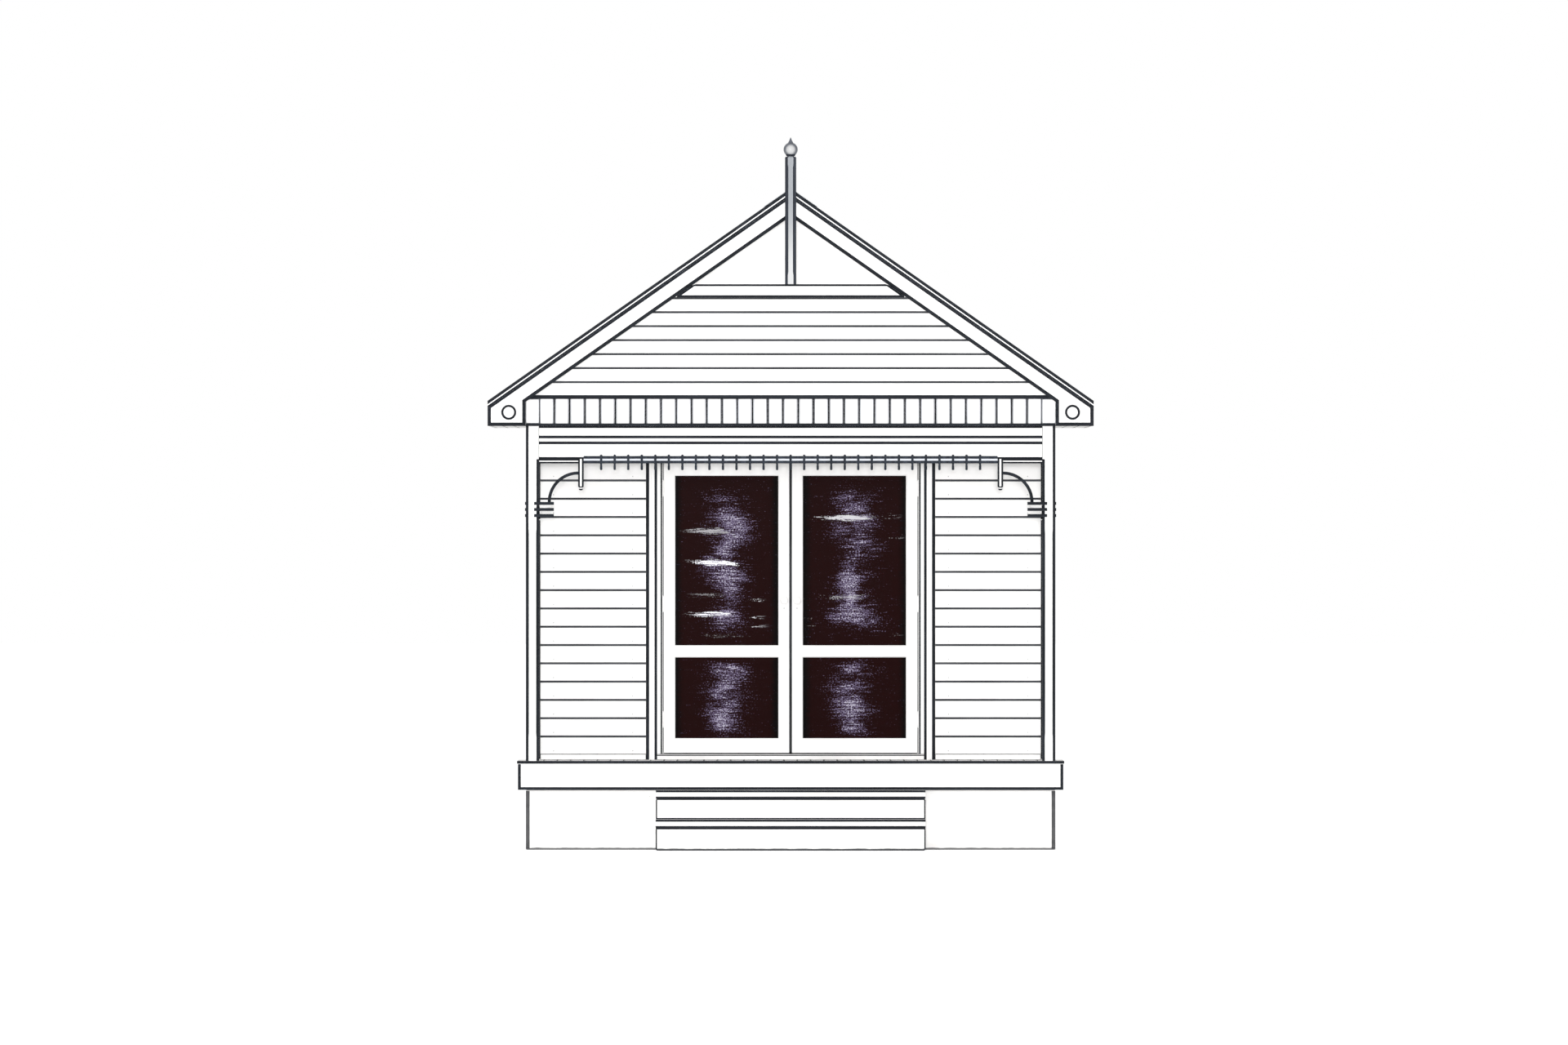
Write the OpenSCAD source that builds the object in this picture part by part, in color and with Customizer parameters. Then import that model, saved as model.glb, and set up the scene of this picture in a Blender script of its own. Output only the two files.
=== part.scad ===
// Garden studio: one weatherboarded room behind a gabled verandah.
// Millimetres, +Z up, the front faces -Y and +X is to the right.
// The origin is on the ground, under the middle of the whole building.

/* [Plan] */
// Width over the posts and over the corner boards
body_w = 3600; // [3000:10:4800]
// Depth of the verandah, from the front of the posts to the front wall
verandah_d = 1200; // [1150:10:2000]
// Depth of the room over its walls
room_d = 3600; // [2400:10:6000]
// Thickness of the framed walls
wall_t = 120; // [95:5:140]

/* [Levels] */
// Height of the masonry plinth, which is also the top of the upper tread
plinth_h = 408; // [300:1:600]
// Thickness of the plinth walls
plinth_t = 180; // [160:5:250]
// Depth of the framed deck and of the fascia round it
deck_h = 197; // [120:1:260]
// Step from the deck up to the room floor
floor_rise = 39; // [20:1:80]
// Clear height of the room
room_h = 2400; // [2350:10:2450]
// Thickness of the ceiling linings
ceiling_t = 20; // [10:1:40]

/* [Deck and steps] */
// How far the deck stands out past the posts
deck_proud = 60; // [40:1:120]
// Thickness of the deck fascia boards
deck_fascia_t = 32; // [20:1:40]
// Width of the steps
step_w = 1830; // [1200:10:2400]
// Going of each step
going = 290; // [240:5:350]
// Rise from one tread to the next
step_rise = 197; // [150:1:220]
// Thickness of the treads
tread_t = 58; // [40:1:70]
// Overhang of each tread past its riser
nosing = 25; // [10:1:40]
// Thickness of the riser boards
riser_t = 25; // [15:1:35]
// Thickness of the stringers
stringer_t = 40; // [30:1:60]

/* [Posts and beams] */
// Width of the square posts
post_w = 90; // [80:1:110]
// Height of the posts below the beams that are framed between them
post_h = 2053; // [2000:1:2150]
// Depth of the beams
beam_h = 224; // [200:1:260]
// How far the beams are set back from the posts' outer faces
beam_set = 25; // [10:1:30]
// Height of the moulding planted on the beams
moulding_h = 47; // [30:1:60]
// Height of the moulding's lower edge above the beam's underside
moulding_up = 106; // [80:1:130]
// How far the moulding stands out from the beam
moulding_proud = 25; // [10:1:30]

/* [Valance and brackets] */
// Height of the valance rail
rail_h = 30; // [20:1:40]
// How far the valance rail stands out in front of the beam
rail_proud = 24; // [20:1:30]
// Diameter of the valance dowels
dowel_d = 16; // [10:1:18]
// How far the valance dowels hang below the rail
dowel_hang = 46; // [20:1:70]
// How far the valance dowels stand up above the rail
dowel_up = 30; // [10:1:50]
// Spacing of the valance dowels
dowel_pitch = 92; // [60:1:150]
// Distance from a post to its bracket's hanging drop
bracket_reach = 265; // [220:1:300]
// Width of the square hanging drop
drop_w = 38; // [34:1:40]
// Length of the hanging drop below the beam
drop_len = 186; // [170:1:220]
// Radius of the bracket's arc, to the middle of the timber
arc_r = 196; // [150:1:205]
// Thickness of the bracket's arc
arc_t = 17; // [14:1:26]
// Distance from the beam down to the crown of the arc
arc_drop = 96; // [80:1:150]
// Reach of the corbel under the foot of the arc
corbel_reach = 100; // [90:1:120]
// Height of the corbel
corbel_h = 124; // [100:1:150]

/* [Gable and roof] */
// Pitch of the roof in degrees
slope = 35; // [32:0.5:40]
// Overhang of the eaves past the side walls
eave_over = 259; // [220:1:400]
// Overhang of the verges past the front and the back
verge_over = 150; // [120:5:300]
// Height of the barge foot at the end of the eaves
foot_h = 171; // [150:1:220]
// Thickness of the barge boards
barge_t = 30; // [20:1:40]
// Depth of the barge boards, measured plumb from the roof's top
barge_h = 188; // [150:1:220]
// Height of the frieze of upright boards
frieze_h = 209; // [150:1:240]
// Height of the collar tie
tie_h = 89; // [60:1:120]
// Distance from the apex down to the collar tie's underside
tie_drop = 738; // [640:1:800]
// Depth of the corrugated sheets, measured plumb
sheet_t = 22; // [18:1:30]
// Thickness of the folded cappings
cap_t = 6; // [3:1:8]
// Height of the barge capping's front face, measured plumb
cap_face = 47; // [35:1:60]
// How far the barge capping laps over the sheets
cap_lap = 130; // [80:5:180]
// Width of the ridge capping on each slope
ridge_cap_w = 180; // [120:5:220]
// Radius of the roll along the ridge
ridge_roll_r = 25; // [15:1:30]

/* [Eaves trim] */
// Thickness of the eaves fascia
fascia_t = 24; // [18:1:35]
// Thickness of the soffit linings
soffit_t = 9; // [6:1:16]
// Diameter of the roundel on each barge foot
roundel_d = 102; // [60:1:110]
// Thickness of the roundels
roundel_t = 12; // [6:1:20]
// Distance from the end of the eaves in to the roundel's centre
roundel_in = 144; // [120:1:160]
// Distance from the soffit up to the roundel's centre
roundel_up = 93; // [70:1:100]

/* [Finial] */
// Width of the square finial shaft
finial_w = 76; // [60:1:90]
// Height of the shaft above the apex
finial_up = 217; // [150:1:300]
// Diameter of the ball
ball_d = 97; // [70:1:110]
// Height of the point above the ball
spike_h = 34; // [15:1:50]

/* [Doorway] */
// Width of each door leaf
leaf_w = 864; // [760:1:900]
// Height of the door leaves
leaf_h = 2040; // [1980:1:2080]
// Thickness of the door leaves
leaf_t = 40; // [35:1:45]
// Gap between a leaf and its jamb
side_gap = 5; // [5:0.5:8]
// Gap between the two closed leaves
meet_gap = 8; // [8:0.5:12]
// Gap under the leaves
sill_gap = 6; // [5:0.5:12]
// Gap over the leaves
head_gap = 5; // [5:0.5:12]
// Width of the stiles
stile_w = 80; // [70:1:120]
// Height of the top rail
top_rail_h = 145; // [100:1:160]
// Height of the middle rail
mid_rail_h = 83; // [60:1:120]
// Height of the middle rail above the foot of the leaf
mid_rail_up = 654; // [500:1:900]
// Height of the bottom rail
bottom_rail_h = 102; // [90:1:200]
// Thickness of the glass
glass_t = 6; // [4:1:12]
// Width of the door frame's members
frame_w = 40; // [30:1:60]
// How far the door frame stands out from the wall
frame_proud = 20; // [15:1:30]
// How far the door stops stand in from the frame
stop_w = 12; // [8:1:20]
// Gap between the closed leaves and the stops
stop_gap = 5; // [5:0.5:8]
// Width of the architraves
architrave_w = 75; // [60:1:100]
// Thickness of the architraves
architrave_t = 28; // [20:1:30]
// How far the threshold stands out from the wall
threshold_proud = 50; // [30:1:80]
// Width of the corner boards
corner_w = 90; // [70:1:120]
// Thickness of the corner boards
corner_t = 24; // [15:1:30]

/* [Door furniture] */
// Height of each hinge
hinge_h = 100; // [75:1:125]
// Distance from the top and the foot of the leaf to the outer hinges
hinge_in = 180; // [120:5:300]
// Radius of the hinge knuckles
knuckle_r = 6.5; // [5:0.25:6.5]
// Radius of the hinge pins
pin_r = 3; // [2:0.25:3.5]
// Thickness of the hinge flaps
flap_t = 2.5; // [2:0.25:4]
// Width of the hinge flaps
flap_w = 34; // [24:1:34]
// Height of the handles above the foot of the leaf
handle_up = 1044; // [900:1:1200]
// Height of the handle plates
plate_h = 220; // [160:1:260]
// Width of the handle plates
plate_w = 36; // [30:1:50]
// Thickness of the handle plates
plate_t = 5; // [3:1:8]
// How far the knobs stand out from the leaf
knob_out = 52; // [46:1:60]
// Radius of the knobs
knob_r = 26; // [22:1:30]
// Thickness of the knobs
knob_t = 24; // [18:1:28]
// Radius of the knobs' necks
neck_r = 9; // [7:0.5:11]

/* [Hidden] */
$fn = 48;

// Plan: x is taken from the middle, y from the posts' front face at y_post.
half_w = body_w / 2;
// The corner boards stand out from the walls to the line of the posts
wall_x = half_w - corner_t;
eave_x = half_w + eave_over;
post_x = half_w - post_w;
steps_d = deck_proud + 2 * going;
verge_d = verge_over + barge_t + max(cap_t, roundel_t);
y_post = (steps_d - verandah_d - room_d - verge_d) / 2;
y_wall = y_post + verandah_d;
y_back = y_wall + room_d;
y_verge = y_post - verge_over;
y_verge_back = y_back + verge_over;

// Levels
deck_z = plinth_h + deck_h;
floor_z = deck_z + floor_rise;
ceiling_z = floor_z + room_h;
beam_z = deck_z + post_h;
eave_z = beam_z + beam_h;
frieze_z = eave_z + frieze_h;
apex_z = eave_z + foot_h + eave_x * tan(slope);
tie_z = apex_z - tie_drop;
moulding_z = beam_z + moulding_up;

// Clearance between two sloping faces that lie on each other
fit_gap = 0.3;

// Drops below the top of the roof, measured plumb
sheet_drop = cap_t + fit_gap;
under_drop = sheet_drop + sheet_t;
wall_drop = under_drop + fit_gap;
lining_drop = barge_h - 2 * soffit_t;
// Joint left between two mitred timbers that meet at the ridge
mitre_gap = 1;

// Doorway
frame_x = leaf_w + meet_gap / 2 + side_gap;
leaf_x = frame_x - side_gap;
frame_out_x = frame_x + frame_w;
leaf_z = floor_z + sill_gap;
head_z = leaf_z + leaf_h + head_gap;
frame_top_z = head_z + frame_w;
y_frame = y_wall - frame_proud;
y_stop = y_frame + leaf_t + stop_gap;
y_inside = y_wall + wall_t;
pane_x0 = meet_gap / 2 + stile_w;
pane_x1 = leaf_x - stile_w;

// Hinges
axis_out = 7;
axis_x = frame_x - side_gap / 2;
y_axis = y_frame - axis_out;
knuckle_gap = 0.5;
pin_play = 0.05;
hinge_zs = [leaf_z + hinge_in,
            leaf_z + (leaf_h - hinge_h) / 2,
            leaf_z + leaf_h - hinge_in - hinge_h];

// Height of the roof at a distance x from the ridge, a drop below its top
function roof_z(x, drop) = apex_z - x * tan(slope) - drop;
// Distance from the ridge at which a drop line reaches the height z
function roof_x(z, drop) = (apex_z - drop - z) / tan(slope);

timber = "ghostwhite";
blue_grey = "slategray";
zinc = "silver";
stone = "gainsboro";
enamel = "gainsboro";

// ---- helpers ----

// A block between two corners
module block(x0, x1, y0, y1, z0, z1) {
    translate([x0, y0, z0]) cube([x1 - x0, y1 - y0, z1 - z0]);
}

// A profile drawn in x and z, run from y0 to y1
module along_y(y0, y1) {
    translate([0, y1, 0]) rotate([90, 0, 0]) linear_extrude(height = y1 - y0) children();
}

// A profile drawn in y and z, run from x0 to x1
module along_x(x0, x1) {
    translate([x0, 0, 0]) rotate([90, 0, 90]) linear_extrude(height = x1 - x0) children();
}

// The piece and its mirror image across the building's middle
module both_sides() {
    children();
    mirror([1, 0, 0]) children();
}

// A strip of one slope, between two drops and two distances from the ridge
module slope_strip(x0, x1, drop0, drop1) {
    polygon([[x0, roof_z(x0, drop0)], [x1, roof_z(x1, drop0)],
             [x1, roof_z(x1, drop1)], [x0, roof_z(x0, drop1)]]);
}

// ---- base ----

module plinth_front() {
    color(stone) block(-half_w, half_w, y_post, y_post + plinth_t, 0, plinth_h);
}

module plinth_sides() {
    color(stone) both_sides()
        block(half_w - plinth_t, half_w, y_post + plinth_t, y_back - plinth_t, 0, plinth_h);
}

module plinth_back() {
    color(stone) block(-half_w, half_w, y_back - plinth_t, y_back, 0, plinth_h);
}

deck_x = half_w + deck_proud;
deck_in_x = deck_x - deck_fascia_t;
y_deck = y_post - deck_proud;
y_deck_in = y_deck + deck_fascia_t;

module verandah_deck() {
    color(stone) block(-deck_in_x, deck_in_x, y_deck_in, y_wall, plinth_h, deck_z);
}

module deck_fascia_front() {
    color(timber) block(-deck_x, deck_x, y_deck, y_deck_in, plinth_h, deck_z);
}

module deck_fascia_sides() {
    color(timber) both_sides() block(deck_in_x, deck_x, y_deck_in, y_wall, plinth_h, deck_z);
}

// ---- steps ----

y_upper = y_deck - going;
y_lower = y_upper - going;
y_riser = y_upper + nosing;
y_riser_back = y_riser + riser_t;
lower_z = plinth_h - step_rise;

module treads() {
    color(stone) {
        block(-step_w / 2, step_w / 2, y_upper, y_post, plinth_h - tread_t, plinth_h);
        block(-step_w / 2, step_w / 2, y_lower, y_riser_back, lower_z - tread_t, lower_z);
    }
}

module step_risers() {
    color(timber) {
        block(-step_w / 2, step_w / 2, y_riser, y_riser_back, lower_z, plinth_h - tread_t);
        block(-step_w / 2, step_w / 2, y_lower + nosing, y_lower + nosing + riser_t,
              0, lower_z - tread_t);
    }
}

module stringer_profile() {
    y_foot = y_lower + nosing + riser_t;
    polygon([[y_foot, 0], [y_post, 0], [y_post, plinth_h - tread_t],
             [y_riser_back, plinth_h - tread_t], [y_riser_back, lower_z - tread_t],
             [y_foot, lower_z - tread_t]]);
}

module step_stringers() {
    color(timber) {
        both_sides() along_x(step_w / 2 - stringer_t, step_w / 2) stringer_profile();
        along_x(-stringer_t / 2, stringer_t / 2) stringer_profile();
    }
}

// ---- room ----

wall_in_x = wall_x - wall_t;

module room_floor() {
    color(stone) {
        block(-wall_in_x, wall_in_x, y_inside, y_back - wall_t, plinth_h, floor_z);
        block(-frame_out_x, frame_out_x, y_wall, y_inside, plinth_h, deck_z);
    }
}

module side_wall() {
    along_y(y_wall, y_back)
        polygon([[wall_in_x, plinth_h], [wall_x, plinth_h],
                 [wall_x, roof_z(wall_x, wall_drop)],
                 [wall_in_x, roof_z(wall_in_x, wall_drop)]]);
}

module wall_right() { color(timber) side_wall(); }

module wall_left() { color(timber) mirror([1, 0, 0]) side_wall(); }

module wall_back() {
    color(timber) along_y(y_back - wall_t, y_back)
        polygon([[-wall_in_x, plinth_h], [wall_in_x, plinth_h],
                 [wall_in_x, roof_z(wall_in_x, wall_drop)],
                 [0, roof_z(0, wall_drop)],
                 [-wall_in_x, roof_z(wall_in_x, wall_drop)]]);
}

front_top_z = ceiling_z + ceiling_t;

module front_wall_side() {
    block(frame_out_x, wall_in_x, y_wall, y_inside, plinth_h, front_top_z);
}

module front_wall_right() { color(timber) front_wall_side(); }

module front_wall_left() { color(timber) mirror([1, 0, 0]) front_wall_side(); }

module front_wall_over_door() {
    color(timber) block(-frame_out_x, frame_out_x, y_wall, y_inside, frame_top_z, front_top_z);
}

// Two boards round an outside corner: one on the end wall, one on the side wall
module corner_boards() {
    y_face = y_wall - corner_t;
    color(timber) both_sides() {
        block(half_w - corner_w, half_w, y_face, y_wall, deck_z, beam_z);
        block(wall_x, half_w, y_wall, y_wall + corner_w, plinth_h, eave_z);
        block(half_w - corner_w, half_w, y_back, y_back + corner_t, plinth_h, eave_z);
        block(wall_x, half_w, y_back - corner_w, y_back, plinth_h, eave_z);
    }
}

module room_ceiling() {
    color(timber) block(-wall_in_x, wall_in_x, y_inside, y_back - wall_t,
                        ceiling_z, front_top_z);
}

// ---- doorway ----

// Pockets that hinge flaps are let into, on the side x of the right-hand gap
module flap_pockets(x0) {
    for (z = hinge_zs) block(x0, x0 + flap_t, y_frame, y_axis + flap_w, z, z + hinge_h);
}

// Jamb with its stop, on the right
module jamb() {
    difference() {
        union() {
            block(frame_x, frame_out_x, y_frame, y_inside, floor_z, head_z);
            block(frame_x - stop_w, frame_x, y_stop, y_inside, floor_z, head_z);
        }
        flap_pockets(frame_x);
    }
}

module door_frame() {
    color(timber) {
        both_sides() jamb();
        block(-frame_out_x, frame_out_x, y_frame, y_inside, head_z, frame_top_z);
        block(-frame_x, frame_x, y_stop, y_inside, head_z - stop_w, head_z);
    }
}

module door_threshold() {
    color(stone) block(-frame_out_x, frame_out_x, y_wall - threshold_proud, y_inside,
                       deck_z, floor_z);
}

module architrave() {
    out_x = frame_out_x + architrave_w;
    y_face = y_wall - architrave_t;
    color(timber) {
        both_sides() block(frame_out_x, out_x, y_face, y_wall, deck_z, frame_top_z);
        block(-out_x, out_x, y_face, y_wall, frame_top_z, frame_top_z + architrave_w);
    }
}

mid_rail_z = leaf_z + mid_rail_up;
lower_pane = [leaf_z + bottom_rail_h, mid_rail_z];
upper_pane = [mid_rail_z + mid_rail_h, leaf_z + leaf_h - top_rail_h];

module leaf() {
    difference() {
        block(meet_gap / 2, leaf_x, y_frame, y_frame + leaf_t, leaf_z, leaf_z + leaf_h);
        for (pane = [lower_pane, upper_pane])
            block(pane_x0, pane_x1, y_frame - 1, y_frame + leaf_t + 1, pane[0], pane[1]);
        flap_pockets(leaf_x - flap_t);
    }
}

module door_right() { color(timber) leaf(); }

module door_left() { color(timber) mirror([1, 0, 0]) leaf(); }

module panes() {
    y_glass = y_frame + (leaf_t - glass_t) / 2;
    for (pane = [lower_pane, upper_pane])
        block(pane_x0, pane_x1, y_glass, y_glass + glass_t, pane[0], pane[1]);
}

module glass_right() { color("dimgray") panes(); }

module glass_left() { color("dimgray") mirror([1, 0, 0]) panes(); }

// Plate, neck and round knob, standing out of the face y = 0 towards -y
module knob_set() {
    translate([-plate_w / 2, -plate_t, -plate_h / 2]) cube([plate_w, plate_t, plate_h]);
    rotate([90, 0, 0]) {
        cylinder(r = neck_r, h = knob_out - knob_t / 2);
        translate([0, 0, knob_out - knob_t])
            cylinder(r1 = knob_r * 0.55, r2 = knob_r, h = knob_t / 3);
        translate([0, 0, knob_out - knob_t * 2 / 3]) cylinder(r = knob_r, h = knob_t / 3);
        translate([0, 0, knob_out - knob_t / 3])
            cylinder(r1 = knob_r, r2 = knob_r * 0.72, h = knob_t / 3);
    }
}

module handles() {
    x = (meet_gap + stile_w) / 2;
    z = leaf_z + handle_up;
    translate([x, y_frame, z]) knob_set();
    translate([x, y_frame + leaf_t, z]) mirror([0, 1, 0]) knob_set();
}

module handles_right() { color(enamel) handles(); }

module handles_left() { color(enamel) mirror([1, 0, 0]) handles(); }

// Height of the leaf's middle knuckle; the frame's two knuckles share the rest
mid_knuckle_h = hinge_h * 0.4;
end_knuckle_h = (hinge_h - mid_knuckle_h) / 2 - knuckle_gap;

// The frame's half of one hinge: flap, two knuckles and the pin
module frame_hinge() {
    block(frame_x, frame_x + flap_t, y_frame, y_axis + flap_w, 0, hinge_h);
    for (z = [0, hinge_h - end_knuckle_h]) {
        block(frame_x, frame_x + flap_t, y_axis, y_frame, z, z + end_knuckle_h);
        translate([axis_x, y_axis, z]) cylinder(r = knuckle_r, h = end_knuckle_h);
    }
    translate([axis_x, y_axis, 0]) cylinder(r = pin_r, h = hinge_h);
}

module frame_hinges() {
    color(enamel) both_sides() for (z = hinge_zs) translate([0, 0, z]) frame_hinge();
}

// The leaf's half of one hinge: flap and middle knuckle
module leaf_hinge() {
    z = (hinge_h - mid_knuckle_h) / 2;
    difference() {
        union() {
            block(leaf_x - flap_t, leaf_x, y_frame, y_axis + flap_w, 0, hinge_h);
            block(leaf_x - flap_t, leaf_x, y_axis, y_frame, z, z + mid_knuckle_h);
            translate([axis_x, y_axis, z]) cylinder(r = knuckle_r, h = mid_knuckle_h);
        }
        translate([axis_x, y_axis, z - 1])
            cylinder(r = pin_r + pin_play, h = mid_knuckle_h + 2);
    }
}

module leaf_hinges() {
    for (z = hinge_zs) translate([0, 0, z]) leaf_hinge();
}

module leaf_hinges_right() { color(enamel) leaf_hinges(); }

module leaf_hinges_left() { color(enamel) mirror([1, 0, 0]) leaf_hinges(); }

// ---- verandah ----

module post() { block(post_x, half_w, y_post, y_post + post_w, deck_z, eave_z); }

module post_right() { color(timber) post(); }

module post_left() { color(timber) mirror([1, 0, 0]) post(); }

// Outer faces of the front beam and of the side beams
y_beam = y_post + beam_set;
beam_x = half_w - beam_set;

module front_beam() {
    color(timber) block(-post_x, post_x, y_beam, y_post + post_w, beam_z, eave_z);
}

module side_beams() {
    color(timber) both_sides() block(post_x, beam_x, y_post + post_w, y_wall, beam_z, eave_z);
}

// Moulding profile: u out from the beam, v up; a fillet over a quarter hollow
module moulding_profile() {
    hollow_r = min(moulding_proud * 0.85, moulding_h * 0.65);
    difference() {
        square([moulding_proud, moulding_h]);
        translate([moulding_proud, 0]) circle(r = hollow_r);
    }
}

module front_moulding() {
    color(timber) translate([0, y_beam, moulding_z])
        along_x(-post_x, post_x) mirror([1, 0]) moulding_profile();
}

module side_mouldings() {
    color(timber) both_sides() translate([beam_x, 0, moulding_z])
        along_y(y_post + post_w, y_wall) moulding_profile();
}

// Rail with upright dowels through it: x along the rail from 0 to len,
// y = 0 at the beam's face with the front towards -y, z = 0 at the beam's underside
rail_seat = 8;
rail_d = rail_proud + (post_w - drop_w) / 2 - beam_set + rail_seat;

module valance(len) {
    end_margin = dowel_pitch;
    count = floor((len - 2 * end_margin) / dowel_pitch) + 1;
    first = (len - (count - 1) * dowel_pitch) / 2;
    dowel_low = rail_h + dowel_hang;
    translate([0, -rail_proud, -rail_h]) cube([len, rail_d, rail_h]);
    for (i = [0 : count - 1])
        translate([first + i * dowel_pitch, -rail_proud / 2, -dowel_low])
            cylinder(d = dowel_d, h = dowel_low + dowel_up);
}

drop_out = bracket_reach + drop_w;

module front_valance() {
    x = post_x - drop_out;
    color(blue_grey) translate([-x, y_beam, beam_z]) valance(2 * x);
}

module side_valances() {
    y = y_post + post_w + drop_out;
    color(blue_grey) both_sides() translate([beam_x, y, beam_z])
        rotate([0, 0, 90]) valance(y_wall - corner_t - y);
}

// Bracket: x out from the post's face, y across, z = 0 at the beam's underside
corbel_z = -arc_drop - arc_r;
collar_h = 14;

module bracket() {
    arc_inset = 6;
    arc_d = drop_w - 2 * arc_inset;
    core_d = post_w * 0.65;
    knob_r = drop_w * 0.32;
    translate([0, -drop_w / 2, -rail_h]) cube([bracket_reach, drop_w, rail_h]);
    translate([bracket_reach, -drop_w / 2, -drop_len]) cube([drop_w, drop_w, drop_len]);
    translate([bracket_reach + drop_w / 2, 0, -drop_len - knob_r * 0.5]) sphere(r = knob_r);
    translate([bracket_reach, arc_d / 2, corbel_z]) rotate([90, 0, 0])
        linear_extrude(height = arc_d) intersection() {
            difference() {
                circle(r = arc_r + arc_t / 2, $fn = 96);
                circle(r = arc_r - arc_t / 2, $fn = 96);
            }
            translate([-arc_r - arc_t, 0]) square([arc_r + arc_t, arc_r + arc_t]);
        }
    translate([0, core_d / 2, corbel_z]) rotate([90, 0, 0])
        linear_extrude(height = core_d)
            polygon([[0, 0], [corbel_reach * 0.85, 0], [corbel_reach * 0.6, -corbel_h * 0.75],
                     [corbel_reach * 0.2, -corbel_h], [0, -corbel_h]]);
    for (i = [0 : 2])
        translate([0, -post_w / 2, corbel_z - collar_h - i * corbel_h / 3])
            cube([corbel_reach * (1 - i * 0.04), post_w, collar_h]);
}

module front_brackets() {
    color(timber) both_sides() translate([post_x, y_post + post_w / 2, beam_z])
        mirror([1, 0, 0]) bracket();
}

module side_brackets() {
    color(timber) both_sides() translate([half_w - post_w / 2, y_post + post_w, beam_z])
        rotate([0, 0, 90]) bracket();
}

module verandah_ceiling() {
    color(timber) block(-half_w, half_w, y_post + post_w, y_wall, eave_z, eave_z + ceiling_t);
}

// ---- gable ----

module front_frieze() {
    color(timber) block(-half_w, half_w, y_post, y_post + post_w, eave_z, frieze_z);
}

module front_gable() {
    color(timber) along_y(y_post, y_post + post_w)
        polygon([[-half_w, frieze_z], [half_w, frieze_z],
                 [half_w, roof_z(half_w, wall_drop)], [0, roof_z(0, wall_drop)],
                 [-half_w, roof_z(half_w, wall_drop)]]);
}

module collar_tie() {
    low_x = roof_x(tie_z, barge_h + fit_gap);
    high_x = roof_x(tie_z + tie_h, barge_h + fit_gap);
    color(timber) along_y(y_verge - barge_t, y_verge)
        polygon([[-low_x, tie_z], [low_x, tie_z],
                 [high_x, tie_z + tie_h], [-high_x, tie_z + tie_h]]);
}

// Square shaft on the collar tie, a turned neck, a ball and a point
module finial() {
    shaft_top = apex_z + finial_up;
    ball_r = ball_d / 2;
    neck_r = ball_r * 0.55;
    color(blue_grey) {
        block(-finial_w / 2, finial_w / 2, y_verge - finial_w, y_verge, tie_z + tie_h, shaft_top);
        translate([0, y_verge - finial_w / 2, shaft_top]) {
            cylinder(r = neck_r, h = ball_r);
            translate([0, 0, ball_r]) sphere(r = ball_r);
            translate([0, 0, ball_r * 1.8]) cylinder(r1 = ball_r * 0.55, r2 = 3,
                                                     h = ball_r * 0.2 + spike_h);
        }
    }
}

// Barge board of one slope, from x0 out to its foot
module barge_profile(x0) {
    top_drop = cap_t + fit_gap;
    polygon([[x0, roof_z(x0, top_drop)], [eave_x, roof_z(eave_x, top_drop)], [eave_x, eave_z],
             [half_w, eave_z], [half_w, roof_z(half_w, barge_h)], [x0, roof_z(x0, barge_h)]]);
}

module barges_front() {
    color(timber) both_sides() along_y(y_verge - barge_t, y_verge) barge_profile(finial_w / 2);
}

module barges_back() {
    color(timber) both_sides()
        along_y(y_verge_back, y_verge_back + barge_t) barge_profile(mitre_gap / 2);
}

// Folded capping over one verge: a face in front of the barge and a lap on the sheets
module barge_cap(x0, y_out, y_face, y_lap) {
    along_y(min(y_out, y_face), max(y_out, y_face)) slope_strip(x0, eave_x, 0, cap_face);
    along_y(min(y_face, y_lap), max(y_face, y_lap)) slope_strip(x0, eave_x, 0, cap_t);
}

module barge_caps() {
    y_front = y_verge - barge_t;
    y_rear = y_verge_back + barge_t;
    color(zinc) both_sides() {
        barge_cap(finial_w / 2, y_front - cap_t, y_front, y_front + cap_lap);
        barge_cap(mitre_gap / 2, y_rear + cap_t, y_rear, y_rear - cap_lap);
    }
}

// Sloping lining between an end wall and its barge, and the upright end of the eaves box
module verge_profile() {
    box_z = eave_z + soffit_t;
    out_x = half_w + soffit_t;
    polygon([[mitre_gap / 2, roof_z(mitre_gap / 2, lining_drop)],
             [out_x, roof_z(out_x, lining_drop)], [out_x, box_z], [half_w, box_z],
             [half_w, roof_z(half_w, lining_drop + soffit_t)],
             [mitre_gap / 2, roof_z(mitre_gap / 2, lining_drop + soffit_t)]]);
}

module verge_soffits() {
    color(timber) both_sides() {
        along_y(y_verge, y_post) verge_profile();
        along_y(y_back, y_verge_back) verge_profile();
    }
}

module roundels() {
    x = eave_x - roundel_in;
    z = eave_z + roundel_up;
    color(timber) both_sides() {
        translate([x, y_verge - barge_t, z]) rotate([90, 0, 0])
            cylinder(d = roundel_d, h = roundel_t);
        translate([x, y_verge_back + barge_t + roundel_t, z]) rotate([90, 0, 0])
            cylinder(d = roundel_d, h = roundel_t);
    }
}

// ---- roof ----

module roof_slope() {
    along_y(y_verge, y_verge_back) slope_strip(0, eave_x, sheet_drop, under_drop);
}

module roof_right() { color(zinc) roof_slope(); }

module roof_left() { color(zinc) mirror([1, 0, 0]) roof_slope(); }

module ridge_cap() {
    y_end = y_verge_back + barge_t + cap_t;
    low_z = roof_z(ridge_cap_w, -fit_gap);
    color(zinc) {
        along_y(y_verge, y_end)
            polygon([[-ridge_cap_w, low_z], [0, roof_z(0, -fit_gap)], [ridge_cap_w, low_z],
                     [ridge_cap_w, low_z + cap_t], [0, roof_z(0, -fit_gap) + cap_t],
                     [-ridge_cap_w, low_z + cap_t]]);
        along_y(y_verge, y_end)
            translate([0, roof_z(0, -fit_gap) + ridge_roll_r / cos(slope)])
                circle(r = ridge_roll_r);
    }
}

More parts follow.
